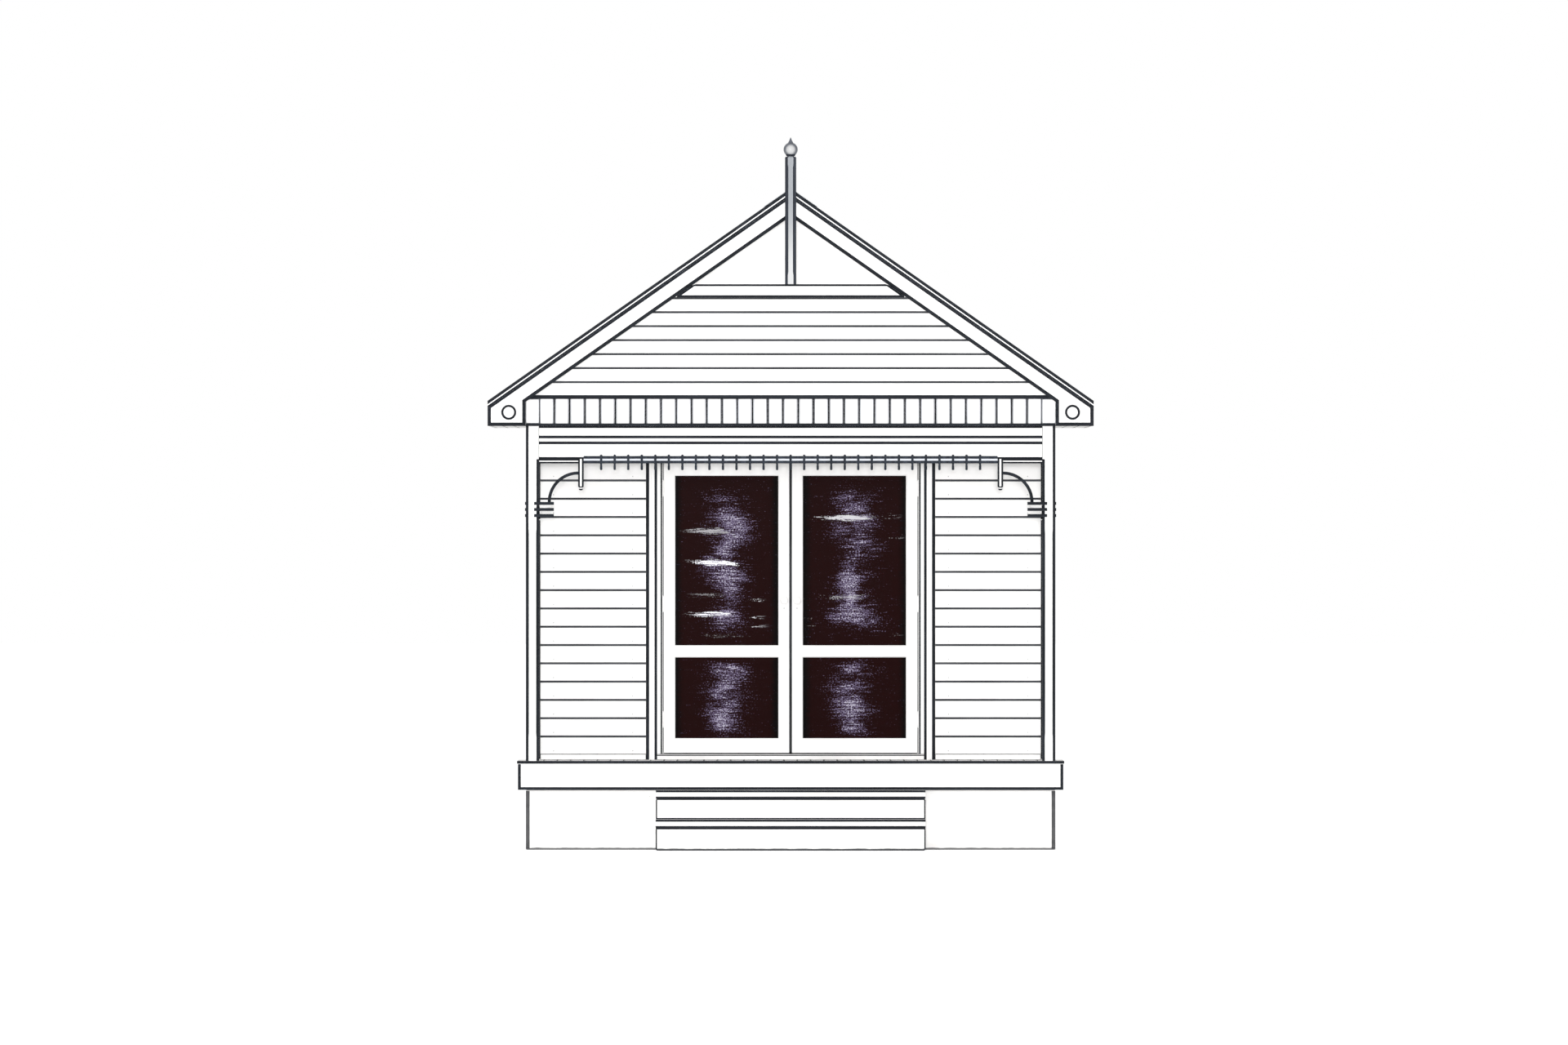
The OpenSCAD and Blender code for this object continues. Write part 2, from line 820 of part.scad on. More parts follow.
module soffits() {
    color(timber) both_sides() {
        block(half_w, eave_x - fascia_t, y_verge, y_wall, eave_z, eave_z + soffit_t);
        block(wall_x, eave_x - fascia_t, y_wall, y_verge_back, eave_z, eave_z + soffit_t);
    }
}

module fascias() {
    color(timber) both_sides() along_y(y_verge, y_verge_back)
        polygon([[eave_x - fascia_t, eave_z], [eave_x, eave_z],
                 [eave_x, roof_z(eave_x, wall_drop)],
                 [eave_x - fascia_t, roof_z(eave_x - fascia_t, wall_drop)]]);
}

plinth_front();
plinth_sides();
plinth_back();
verandah_deck();
deck_fascia_front();
deck_fascia_sides();
treads();
step_risers();
step_stringers();
room_floor();
wall_left();
wall_right();
wall_back();
front_wall_left();
front_wall_right();
front_wall_over_door();
corner_boards();
door_frame();
door_threshold();
architrave();
door_left();
door_right();
glass_left();
glass_right();
handles_left();
handles_right();
frame_hinges();
leaf_hinges_left();
leaf_hinges_right();
post_left();
post_right();
front_beam();
side_beams();
front_moulding();
side_mouldings();
front_valance();
side_valances();
front_brackets();
side_brackets();
front_frieze();
front_gable();
collar_tie();
finial();
barges_front();
barges_back();
barge_caps();
verge_soffits();
roundels();
roof_left();
roof_right();
ridge_cap();
soffits();
fascias();
room_ceiling();
verandah_ceiling();
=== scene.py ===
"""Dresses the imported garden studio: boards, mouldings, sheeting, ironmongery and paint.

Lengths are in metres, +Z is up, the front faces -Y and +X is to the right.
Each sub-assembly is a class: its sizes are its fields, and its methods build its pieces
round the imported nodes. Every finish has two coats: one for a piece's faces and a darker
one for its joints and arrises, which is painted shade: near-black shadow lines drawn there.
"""

import logging
import math
from collections.abc import Callable, Iterable, Sequence
from dataclasses import dataclass, replace
from enum import Enum

import bmesh
import bpy
from mathutils import Matrix, Vector


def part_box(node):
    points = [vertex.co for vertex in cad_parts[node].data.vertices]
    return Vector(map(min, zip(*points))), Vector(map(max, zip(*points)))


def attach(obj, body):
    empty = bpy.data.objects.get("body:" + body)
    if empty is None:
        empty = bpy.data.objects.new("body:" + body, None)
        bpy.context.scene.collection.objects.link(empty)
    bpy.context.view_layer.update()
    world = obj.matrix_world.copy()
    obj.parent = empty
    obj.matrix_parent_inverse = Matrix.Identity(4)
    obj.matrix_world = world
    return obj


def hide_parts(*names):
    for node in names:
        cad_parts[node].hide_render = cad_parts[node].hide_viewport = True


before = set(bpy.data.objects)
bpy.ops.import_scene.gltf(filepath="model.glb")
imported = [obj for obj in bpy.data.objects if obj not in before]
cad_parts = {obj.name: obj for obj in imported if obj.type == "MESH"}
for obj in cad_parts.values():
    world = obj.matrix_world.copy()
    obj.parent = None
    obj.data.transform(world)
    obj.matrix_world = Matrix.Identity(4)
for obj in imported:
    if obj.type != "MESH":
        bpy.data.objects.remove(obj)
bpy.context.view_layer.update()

log = logging.getLogger("garden_studio")

Colour = tuple[float, float, float, float]
Outline = list[tuple[float, float]]
Edges = list[bmesh.types.BMEdge]
Material = bpy.types.Material

STUDIO = "studio"
FACE, EDGE = 0, 1
UP = Vector((0, 0, 1))
RIGHT = Vector((1, 0, 0))
BACK = Vector((0, 1, 0))
MIRROR = Matrix.Scale(-1, 4, RIGHT)
NEAR = 1e-4  # corners this close together stand in one place
SQUARE = 60.0  # corners that turn more than this, in degrees, are square


def grey(value: float, warmth: float = 0.0) -> Colour:
    """A neutral colour, a little towards yellow where warmth is above 0."""
    return (value, value * (1 - warmth * 0.5), value * (1 - warmth), 1.0)


def placed(name: str, data: bpy.types.ID) -> bpy.types.Object:
    """Puts a new object into the scene.

    Args:
        name: Its name.
        data: Its mesh, light or camera.

    Returns:
        The object.
    """
    thing = bpy.data.objects.new(name, data)
    bpy.context.scene.collection.objects.link(thing)
    return thing


# ---- nodes ----


class Signal:
    """A number on its way through a node tree; working with it adds Math nodes."""

    def __init__(self, desk: "NodeDesk", socket: bpy.types.NodeSocket) -> None:
        """Wraps the socket that the number comes out of."""
        self.desk = desk
        self.socket = socket

    def math(self, operation: str, *others: "Signal | float") -> "Signal":
        """The result of a Math node on this number and the others."""
        sockets = dict(enumerate((self, *others)))
        return self.desk.add("ShaderNodeMath", {"operation": operation}, sockets)

    def __add__(self, other: "Signal | float") -> "Signal":
        """The sum."""
        return self.math("ADD", other)

    def __sub__(self, other: "Signal | float") -> "Signal":
        """The difference."""
        return self.math("SUBTRACT", other)

    def __mul__(self, other: "Signal | float") -> "Signal":
        """The product."""
        return self.math("MULTIPLY", other)

    __rmul__ = __mul__

    def __truediv__(self, other: "Signal | float") -> "Signal":
        """The quotient."""
        return self.math("DIVIDE", other)

    def smooth(self, low: float, high: float) -> "Signal":
        """Rises from 0 at low to 1 at high, or falls where low is above high."""
        return self.desk.add("ShaderNodeMapRange", {"interpolation_type": "SMOOTHSTEP"},
                             {"Value": self, "From Min": low, "From Max": high})


class NodeDesk:
    """A node tree that is filled through one method."""

    def __init__(self, tree: bpy.types.NodeTree) -> None:
        """Starts on the given tree."""
        self.tree = tree

    @staticmethod
    def pick(sockets: Sequence[bpy.types.NodeSocket], key: int | str) -> bpy.types.NodeSocket:
        """Finds a socket.

        Args:
            sockets: A node's inputs or outputs.
            key: The socket's number, or its name among those in use.

        Returns:
            The socket.
        """
        if isinstance(key, int):
            return sockets[key]
        return next(s for s in sockets if s.name == key and s.enabled)

    def add(self, kind: str, settings: dict | None = None, sockets: dict | None = None,
            output: int | str | None = None) -> Signal | None:
        """Adds one node.

        Args:
            kind: The node's type.
            settings: Its settings, which are set first.
            sockets: Values or links of its inputs, by number or name.
            output: The output that is wanted, or None for the first in use.

        Returns:
            That output, or None where the node has none.
        """
        node = self.tree.nodes.new(kind)
        for name, value in (settings or {}).items():
            setattr(node, name, value)
        for key, value in (sockets or {}).items():
            target = self.pick(node.inputs, key)
            value = value.socket if isinstance(value, Signal) else value
            if isinstance(value, bpy.types.NodeSocket):
                self.tree.links.new(value, target)
            else:
                target.default_value = value
        if output is not None:
            return Signal(self, self.pick(node.outputs, output))
        used = [s for s in node.outputs if s.enabled]
        return Signal(self, used[0]) if used else None


class Sheet(NodeDesk):
    """The node sheet of one material, on the piece's own Object coordinates."""

    def __init__(self, name: str) -> None:
        """Makes the material and its place signal.

        Args:
            name: The material's name.
        """
        self.material = bpy.data.materials.new(name)
        self.material.use_nodes = True
        self.material.node_tree.nodes.clear()
        super().__init__(self.material.node_tree)
        self.place = self.add("ShaderNodeTexCoord", output="Object")

    def axis(self, name: str) -> Signal:
        """The distance along X, Y or Z."""
        return self.add("ShaderNodeSeparateXYZ", None, {0: self.place}, name)

    def stretched(self, scale: float | Sequence[float]) -> Signal:
        """The place, scaled alike or by one number for each axis."""
        scale = (scale,) * 3 if isinstance(scale, (int, float)) else tuple(scale)
        return self.add("ShaderNodeMapping", None, {"Vector": self.place, "Scale": scale})

    def noise(self, scale: float | Sequence[float], detail: float = 2.0,
              distortion: float = 0.0) -> Signal:
        """Soft noise, with its scale in waves to the metre."""
        return self.add("ShaderNodeTexNoise", None,
                        {"Vector": self.stretched(scale), "Scale": 1.0, "Detail": detail,
                         "Distortion": distortion}, 0)

    def cells(self, scale: float | Sequence[float], feature: str = "F1",
              output: str = "Distance") -> Signal:
        """Random cells, with their scale in cells to the metre."""
        return self.add("ShaderNodeTexVoronoi", {"feature": feature},
                        {"Vector": self.stretched(scale), "Scale": 1.0}, output)

    def cell_value(self, scale: float | Sequence[float]) -> Signal:
        """A number of each cell's own, from 0 to 1."""
        colour = self.cells(scale, output="Color")
        return self.add("ShaderNodeSeparateColor", None, {0: colour}, 0)

    def tone(self) -> Signal:
        """The board's own tone, from -1 to 1, and 0 on a piece without boards."""
        return self.add("ShaderNodeAttribute", {"attribute_name": "tone"}, None, "Fac")

    def foot_shade_and_soil(self) -> Signal:
        """A dark line where a piece stands on the ground, from 0 to 0.85: painted contact shadow
        with wet soil.
        """
        ragged = self.noise((16.0, 16.0, 4.0)) * 0.010
        return (self.axis("Z") - ragged).smooth(0.012, 0.006) * 0.85

    def mix(self, amount: Signal | float, first: Signal | Colour,
            second: Signal | Colour) -> Signal:
        """The first colour, turned into the second by the amount."""
        return self.add("ShaderNodeMix", {"data_type": "RGBA"},
                        {"Factor": amount, "A": first, "B": second})

    def bump(self, height: Signal, strength: float, distance: float) -> Signal:
        """The normal over a height."""
        return self.add("ShaderNodeBump", None,
                        {"Height": height, "Strength": strength, "Distance": distance})

    def close(self, sockets: dict) -> Material:
        """Ends the sheet in one shader.

        Args:
            sockets: Values or links of the shader's inputs.

        Returns:
            The finished material.
        """
        shader = self.add("ShaderNodeBsdfPrincipled", None, sockets)
        self.add("ShaderNodeOutputMaterial", None, {"Surface": shader})
        return self.material


# ---- finishes ----


class Grain(Enum):
    """The axis that the grain and the brush strokes follow."""

    ACROSS = 0
    DEEP = 1
    UPRIGHT = 2


@dataclass(frozen=True)
class Finish:
    """What a piece is coated with: its record's slot and two materials, made once."""

    name: str
    slot: str = "white_paint"

    def coat(self, kind: int) -> Material:
        """The material of the faces or of the edges, made when it is first asked for."""
        label = f"{self.name}_{'faces' if kind == FACE else 'edges'}"
        return bpy.data.materials.get(label) or self.mixed(Sheet(label), kind)

    def coats(self) -> list[Material]:
        """Both materials, in the order of a piece's slots."""
        return [self.coat(FACE), self.coat(EDGE)]

    def mixed(self, sheet: Sheet, kind: int) -> Material:
        """Makes one material, of kind FACE or EDGE; each finish has its own way."""
        raise NotImplementedError


@dataclass(frozen=True)
class PaintedTimber(Finish):
    """Brushed paint on sawn boards, with the grain under it and a little soil on it."""

    colour: Colour = grey(0.90, 0.015)
    shade: Colour = (0.014, 0.016, 0.020, 1.0)
    grain: Grain = Grain.ACROSS
    soil: float = 0.10
    roughness: float = 0.48
    joint_pitch: float = 0.0
    joint_axis: str = "X"
    lighter_span: tuple[float, float] | None = None
    lighter_axis: str = "Z"

    def mixed(self, sheet: Sheet, kind: int) -> Material:
        """Makes the paint of the faces, or the near-black painted shade of the arrises and joints.

        Args:
            sheet: The material's empty sheet.
            kind: FACE or EDGE.

        Returns:
            The material.
        """
        scale = [48.0] * 3
        scale[self.grain.value] = 2.2
        brush = sheet.noise(scale, 3.0)
        cloud = sheet.noise(1.3, 4.0, 0.4)
        fleck = sheet.noise(150.0)
        soiled = (0.34, 0.33, 0.31, 1.0)
        # The edge coat is painted shade: near-black shadow lines on arrises, in joints and grooves
        # and on dark strips, a little paler along the brush strokes.
        if kind == EDGE:
            paler_shade = (*(c * 1.9 for c in self.shade[:3]), 1.0)
            base = sheet.mix(brush.smooth(0.35, 0.75), self.shade, paler_shade)
            height = brush * 0.6 + fleck * 0.4
            return sheet.close({"Base Color": base, "Roughness": 0.75,
                                "Specular IOR Level": 0.1,
                                "Normal": sheet.bump(height, 0.4, 0.0006)})
        colour = self.colour
        # Paler along one axis: towards the foot of the finial's shaft, and on the front of the
        # finial's ball, where it is a painted highlight.
        if self.lighter_span:
            low = sheet.axis(self.lighter_axis).smooth(*self.lighter_span)
            colour = sheet.mix(low * 0.75, colour, grey(0.66))
        soil = cloud.smooth(0.46, 0.74) * self.soil
        soil = soil + brush.smooth(0.5, 0.8) * (self.soil * 0.45)
        base = sheet.mix(soil, colour, soiled)
        base = sheet.mix((sheet.tone() + 1.0) * 0.025, base, soiled)
        # Painted contact shadow with wet soil, darkening the piece's foot where it meets the
        # ground.
        base = sheet.mix(sheet.foot_shade_and_soil(), base, self.shade)
        height = brush * 0.7 + fleck * 0.3
        if self.joint_pitch:
            place = sheet.axis(self.joint_axis) / self.joint_pitch
            line = place.math("PINGPONG", 0.5).smooth(0.035, 0.012)
            base = sheet.mix(line * 0.75, base, self.shade)
            height = height - line * 6.0
        return sheet.close({"Base Color": base, "Roughness": brush * 0.16 + self.roughness,
                            "Normal": sheet.bump(height, 0.35, 0.0007)})


@dataclass(frozen=True)
class LimeRender(Finish):
    """Trowelled render on masonry, painted, with hairline cracks and splashes at its foot."""

    colour: Colour = grey(0.90, 0.02)
    splash: Colour = (0.46, 0.44, 0.41, 1.0)
    dark: Colour = (0.020, 0.021, 0.026, 1.0)
    splash_h: float = 0.10

    def mixed(self, sheet: Sheet, kind: int) -> Material:
        """Makes the render, with near-black painted shade on its arrises.

        Args:
            sheet: The material's empty sheet.
            kind: FACE or EDGE.

        Returns:
            The material.
        """
        trowel = sheet.noise((5.0, 5.0, 9.0), 5.0, 1.6)
        sand = sheet.noise(420.0, 3.0)
        wander = sheet.noise(7.0, 3.0)
        crack = sheet.cells(2.1, "DISTANCE_TO_EDGE") + (wander - 0.5) * 0.09
        line = crack.math("ABSOLUTE").smooth(0.006, 0.001)
        line = line * wander.smooth(0.52, 0.62)
        low = sheet.axis("Z").smooth(self.splash_h, 0.0) * (trowel * 0.7 + 0.3)
        fleck = sheet.noise(34.0, 1.0).smooth(0.735, 0.76)
        base = sheet.mix(trowel.smooth(0.4, 0.8) * 0.06, self.colour, self.splash)
        base = sheet.mix(low * 0.20, base, self.splash)
        base = sheet.mix(line * 0.25 + fleck * 0.5, base, self.splash)
        # Painted contact shadow with wet soil, darkening the plinth's foot where it meets the
        # ground.
        base = sheet.mix(sheet.foot_shade_and_soil(), base, self.dark)
        # The edge coat is painted shade: near-black lines down the plinth's corners.
        if kind == EDGE:
            base = sheet.mix(trowel * 0.1 + 0.88, base, self.dark)
        height = trowel * 1.2 + sand * 0.25 - line
        return sheet.close({"Base Color": base, "Roughness": trowel * 0.15 + 0.74,
                            "Normal": sheet.bump(height, 0.45, 0.0022)})


@dataclass(frozen=True)
class ZincSteel(Finish):
    """Zinc-coated steel sheet: spangles, a white bloom and streaks down the slope."""

    colour: Colour = (0.56, 0.58, 0.60, 1.0)
    bloom: Colour = (0.76, 0.77, 0.78, 1.0)
    dark: Colour = (0.13, 0.135, 0.15, 1.0)

    def mixed(self, sheet: Sheet, kind: int) -> Material:
        """Makes the sheet, or its folded edges and creases darkened as painted shade.

        Args:
            sheet: The material's empty sheet.
            kind: FACE or EDGE.

        Returns:
            The material.
        """
        grain = sheet.cell_value((70.0, 90.0, 70.0))
        streak = sheet.noise((1.6, 26.0, 1.6), 4.0)
        cloud = sheet.noise(1.1, 4.0, 0.5)
        bloom = cloud.smooth(0.4, 0.75) * 0.55 + streak.smooth(0.45, 0.8) * 0.3 + grain * 0.14
        base = sheet.mix(bloom, self.colour, self.bloom)
        base = sheet.mix((sheet.tone() + 1.0) * 0.10, base, self.dark)
        # The edge coat is painted shade on the ridge capping's edges and creases and the washers'
        # sides.
        if kind == EDGE:
            base = sheet.mix(streak * 0.2 + 0.75, base, self.dark)
        return sheet.close({"Base Color": base, "Metallic": 0.6 if kind == EDGE else 0.75,
                            "Roughness": cloud * 0.2 + grain * 0.08 + 0.47,
                            "Normal": sheet.bump(grain * 0.4 + streak * 0.6, 0.2, 0.0004)})


@dataclass(frozen=True)
class DarkGlass(Finish):
    """Near-black wine-coloured glass: painted shade of the dark room behind, and painted broken
    violet-grey and white reflections.
    """

    room_shade: Colour = (0.0095, 0.0009, 0.0008, 1.0)
    violet: Colour = (0.178, 0.143, 0.250, 1.0)
    ink: Colour = (0.0012, 0.0006, 0.0006, 1.0)
    glint: Colour = (0.86, 0.86, 0.90, 1.0)
    pane_mid: float = 0.44
    reach: float = 0.20
    pane_middles: tuple[tuple[float, float], ...] = ((1.97, 0.57), (1.02, 0.30))

    def mixed(self, sheet: Sheet, kind: int) -> Material:
        """Makes the glass: painted hatched and speckled reflections about the middle of each pane,
        on painted shade.

        Args:
            sheet: The material's empty sheet.
            kind: FACE or EDGE; not used.

        Returns:
            The material.
        """
        # Painted reflections: a violet-grey veil, hatched and speckled, about each pane's middle,
        # and white strokes on the upper panes.
        sway = (sheet.noise((1.3, 1.0, 3.1), 3.0) - 0.5) * 2.4
        aside = sheet.axis("X").math("ABSOLUTE") - self.pane_mid
        off = (aside / self.reach + sway).math("ABSOLUTE")
        upper, lower = [(sheet.axis("Z") - middle).math("ABSOLUTE").smooth(half, half * 0.70)
                        for middle, half in self.pane_middles]
        field = upper.math("MAXIMUM", lower)
        patch = sheet.noise((3.4, 1.0, 6.2), 3.0, 0.8).smooth(0.30, 0.62)
        hatch = sheet.noise((9.0, 1.0, 120.0), 3.0, 0.6)
        speckle = sheet.noise((95.0, 1.0, 120.0), 2.0)
        grit = hatch * 0.45 + speckle * 0.65
        veil = off.smooth(1.25, 0.0) * field * (patch * 0.15 + 0.095)
        broken = (grit + veil).smooth(0.665, 0.86)
        bright = (grit + veil).smooth(0.80, 0.90)
        cells = (2.1, 1.0, 19.0)
        near = sheet.cells(cells) + (hatch - 0.5) * 1.1 + (speckle - 0.5) * 0.7
        chosen = sheet.cell_value(cells).smooth(0.78, 0.82)
        stroke = near.smooth(0.36, 0.20) * chosen * off.smooth(1.6, 0.9) * upper
        # Painted shade: the near-black of the dark room behind, darker still towards each pane's
        # side edges.
        rim = (aside.math("ABSOLUTE") + (hatch - 0.5) * 0.08).smooth(0.29, 0.345)
        base = sheet.mix(rim, self.room_shade, self.ink)
        base = sheet.mix(broken * 0.9, base, self.violet)
        base = sheet.mix((bright * 0.42).math("MAXIMUM", stroke), base, self.glint)
        return sheet.close({"Base Color": base, "Roughness": speckle * 0.05 + 0.10, "IOR": 1.45,
                            "Specular IOR Level": 0.02})


@dataclass(frozen=True)
class PaintedIron(Finish):
    """White enamel on iron, with painted shade in its joints."""

    colour: Colour = grey(0.84, 0.02)
    joint: Colour = (0.30, 0.31, 0.33, 1.0)

    def mixed(self, sheet: Sheet, kind: int) -> Material:
        """Makes the enamel, greyer in its joints as painted shade, and thin where hands rub it.

        Args:
            sheet: The material's empty sheet.
            kind: FACE or EDGE.

        Returns:
            The material.
        """
        pool = sheet.noise(60.0, 4.0, 0.6)
        # The edge coat is painted shade: in the keyhole, under the knob and on the sides of the
        # rose and screws.
        amount = pool.smooth(0.45, 0.8) * 0.15 + (0.0 if kind == FACE else 0.55)
        return sheet.close({"Base Color": sheet.mix(amount, self.colour, self.joint),
                            "Roughness": pool * 0.2 + 0.22,
                            "Normal": sheet.bump(pool, 0.2, 0.0003)})


WHITE = PaintedTimber("white_paint_across")
WHITE_UP = PaintedTimber("white_paint_upright", grain=Grain.UPRIGHT)
WHITE_DEEP = PaintedTimber("white_paint_deep", grain=Grain.DEEP)
BOARDS = PaintedTimber("white_boards_across", shade=(0.050, 0.053, 0.059, 1.0))
BOARDS_DEEP = replace(BOARDS, name="white_boards_deep", grain=Grain.DEEP)
FRIEZE = PaintedTimber("white_frieze_upright", shade=(0.33, 0.34, 0.36, 1.0),
                       grain=Grain.UPRIGHT)
LEAF = PaintedTimber("white_leaf_upright", shade=(0.10, 0.105, 0.115, 1.0), grain=Grain.UPRIGHT)
LINING_X = PaintedTimber("lining_boards_x", colour=grey(0.80, 0.07), grain=Grain.UPRIGHT,
                         soil=0.06, joint_pitch=0.12, joint_axis="X")
LINING_Y = replace(LINING_X, name="lining_boards_y", joint_axis="Y")
DECK = PaintedTimber("deck_paint_deep", "deck_paint", colour=grey(0.80, 0.02), grain=Grain.DEEP,
                     soil=0.2, roughness=0.6)
TREAD = PaintedTimber("deck_paint_across", "deck_paint", colour=grey(0.84, 0.02), soil=0.2,
                      roughness=0.6)
BLUE_GREY = PaintedTimber("blue_grey_paint", "blue_grey_paint",
                          colour=(0.285, 0.302, 0.325, 1.0),
                          shade=(0.030, 0.034, 0.043, 1.0), grain=Grain.UPRIGHT, soil=0.16,
                          lighter_span=(4.45, 3.90))
PALE_BLUE = PaintedTimber("pale_blue_grey_paint", "blue_grey_paint",
                          colour=(0.66, 0.69, 0.74, 1.0),
                          shade=(0.022, 0.026, 0.034, 1.0), grain=Grain.UPRIGHT, soil=0.12)
# Its ball is paler on its front: a painted highlight that leaves the rim dark.
DEEP_BLUE = PaintedTimber("deep_blue_grey_paint", "blue_grey_paint",
                          colour=(0.085, 0.096, 0.118, 1.0),
                          shade=(0.018, 0.021, 0.028, 1.0), grain=Grain.UPRIGHT, soil=0.1,
                          roughness=0.22, lighter_span=(-2.393, -2.410), lighter_axis="Y")
CAPPING = PaintedTimber("white_steel", soil=0.05, roughness=0.38)
FLOOR = PaintedTimber("floor_paint_deep", "deck_paint", colour=grey(0.42, 0.12), grain=Grain.DEEP,
                      soil=0.3, roughness=0.4)
RENDER = LimeRender("lime_render", "plinth_render")
ZINC = ZincSteel("zinc_steel", "zinc_steel")
GLASS = DarkGlass("dark_glass", "dark_glass")
IRON = PaintedIron("painted_iron", "painted_iron")


# ---- meshes ----


class Workpiece:
    """A mesh on the bench, in the building's own frame; its faces are FACE or EDGE."""

    def __init__(self) -> None:
        """Starts with an empty mesh."""
        self.bm = bmesh.new()

    @classmethod
    def of_node(cls, *nodes: str) -> "Workpiece":
        """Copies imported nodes, with their loose triangles merged into whole faces.

        Args:
            nodes: Their names.

        Returns:
            The copy.
        """
        work = cls()
        for node in nodes:
            work.bm.from_mesh(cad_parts[node].data)
        bmesh.ops.remove_doubles(work.bm, verts=work.bm.verts, dist=1e-5)
        bmesh.ops.dissolve_limit(work.bm, angle_limit=math.radians(0.6), verts=work.bm.verts,
                                 edges=work.bm.edges)
        bmesh.ops.recalc_face_normals(work.bm, faces=work.bm.faces)
        return work

    def loft(self, rings: Sequence[Sequence[Vector]], marks: Iterable[int] = (),
             closed: bool = False) -> "Workpiece":
        """Skins a run of outlines and closes its ends.

        Args:
            rings: The outlines in order, each with as many points.
            marks: Numbers of the outline's sides that are finished as edges.
            closed: Whether the last outline meets the first.

        Returns:
            This piece.
        """
        verts = [[self.bm.verts.new(p) for p in ring] for ring in rings]
        pairs = list(zip(verts, verts[1:])) + ([(verts[-1], verts[0])] if closed else [])
        count = len(rings[0])
        fresh = []
        for low, high in pairs:
            for i in range(count):
                j = (i + 1) % count
                face = self.bm.faces.new((low[i], low[j], high[j], high[i]))
                face.material_index = EDGE if i in marks else FACE
                fresh.append(face)
        if not closed:
            fresh += [self.bm.faces.new(verts[0]), self.bm.faces.new(verts[-1])]
        bmesh.ops.recalc_face_normals(self.bm, faces=fresh)
        return self

    def prism(self, outline: Outline, origin: Vector, run: Vector, marks: Iterable[int] = (),
              out: Vector | None = None, up: Vector = UP) -> "Workpiece":
        """Runs an outline along a vector.

        Args:
            outline: Points (u, v), u along out and v along up.
            origin: Where u and v are 0 at the start of the run.
            run: The whole run.
            marks: Sides that are finished as edges.
            out: The direction of u, or None for the right of the run seen from above.
            up: The direction of v.

        Returns:
            This piece.
        """
        if out is None:
            out = run.normalized().cross(up)
        ring = [origin + out * u + up * v for u, v in outline]
        return self.loft([ring, [p + run for p in ring]], marks)

    def block(self, low: Sequence[float], high: Sequence[float]) -> "Workpiece":
        """Adds a block between two corners."""
        wide, deep, tall = Vector(high) - Vector(low)
        return self.prism([(0, 0), (wide, 0), (wide, tall), (0, tall)], Vector(low), BACK * deep)

    def line(self, low: Sequence[float], high: Sequence[float]) -> "Workpiece":
        """Adds a block that is finished as an edge all over."""
        first = len(self.bm.faces)
        return self.block(low, high).marked(range(first, first + 6))

    def marked(self, numbers: Iterable[int]) -> "Workpiece":
        """Finishes some faces as edges.

        Args:
            numbers: The faces' numbers.

        Returns:
            This piece.
        """
        self.bm.faces.ensure_lookup_table()
        for number in numbers:
            self.bm.faces[number].material_index = EDGE
        return self

    def sweep(self, path: Sequence[Vector], normal: Vector, outline: Outline,
              marks: Iterable[int] = (), closed: bool = False) -> "Workpiece":
        """Runs an outline along a flat path, with mitres at its corners.

        Args:
            path: The corners of the path.
            normal: The normal of the path's plane, which v follows.
            outline: Points (u, v), u to the right of the path seen along -normal.
            marks: Sides that are finished as edges.
            closed: Whether the path comes back to its start.

        Returns:
            This piece.
        """
        legs = [(b - a).normalized().cross(normal) for a, b in zip(path, path[1:])]
        if closed:
            legs.append((path[0] - path[-1]).normalized().cross(normal))
        rings = []
        for i, corner in enumerate(path):
            before = legs[i - 1] if i or closed else legs[0]
            after = legs[i] if i < len(legs) else legs[-1]
            mitre = (before + after) / (1 + before.dot(after))
            rings.append([corner + mitre * u + normal * v for u, v in outline])
        return self.loft(rings, marks, closed)

    def turned(self, profile: Outline, centre: Vector, axis: Vector, sides: int = 24,
               marks: Iterable[int] = ()) -> "Workpiece":
        """Turns a profile on the lathe.

        Args:
            profile: Points (radius, distance along the axis), from end to end.
            centre: Where the distance is 0.
            axis: The direction of the axis.
            sides: How many sides the turning has.
            marks: Numbers of the profile's stretches that are finished as edges.

        Returns:
            This piece.
        """
        turn = UP.rotation_difference(axis)
        first = len(self.bm.faces)
        rings = [[centre + turn @ Vector((r * math.cos(a), r * math.sin(a), h))
                  for a in (math.tau * k / sides for k in range(sides))] for r, h in profile]
        return self.loft(rings).marked(
            first + stretch * sides + k for stretch in marks for k in range(sides))

    def add(self, other: "Workpiece") -> "Workpiece":
        """Puts another piece's mesh into this one.

        Args:
            other: The other piece.

        Returns:
            This piece.
        """
        mesh = bpy.data.meshes.new("joined")
        other.bm.to_mesh(mesh)
        self.bm.from_mesh(mesh)
        bpy.data.meshes.remove(mesh)
        return self

    def moved(self, matrix: Matrix) -> "Workpiece":
        """Moves, turns or mirrors the mesh, and keeps its faces outwards.

        Args:
            matrix: Where the mesh goes.

        Returns:
            This piece.
        """
        self.bm.transform(matrix)
        if matrix.determinant() < 0:
            bmesh.ops.reverse_faces(self.bm, faces=self.bm.faces)
        return self

    def both_sides(self) -> "Workpiece":
        """Adds the mirror image across the building's middle."""
        return self.add(Workpiece().add(self).moved(MIRROR))

    def along(self, axis: int) -> Edges:
        """The sharp corners that run along an axis."""
        return [e for e in self.bm.edges if e.calc_face_angle(0.0) > math.radians(SQUARE)
                and abs((e.verts[0].co - e.verts[1].co).normalized()[axis]) > 0.99]

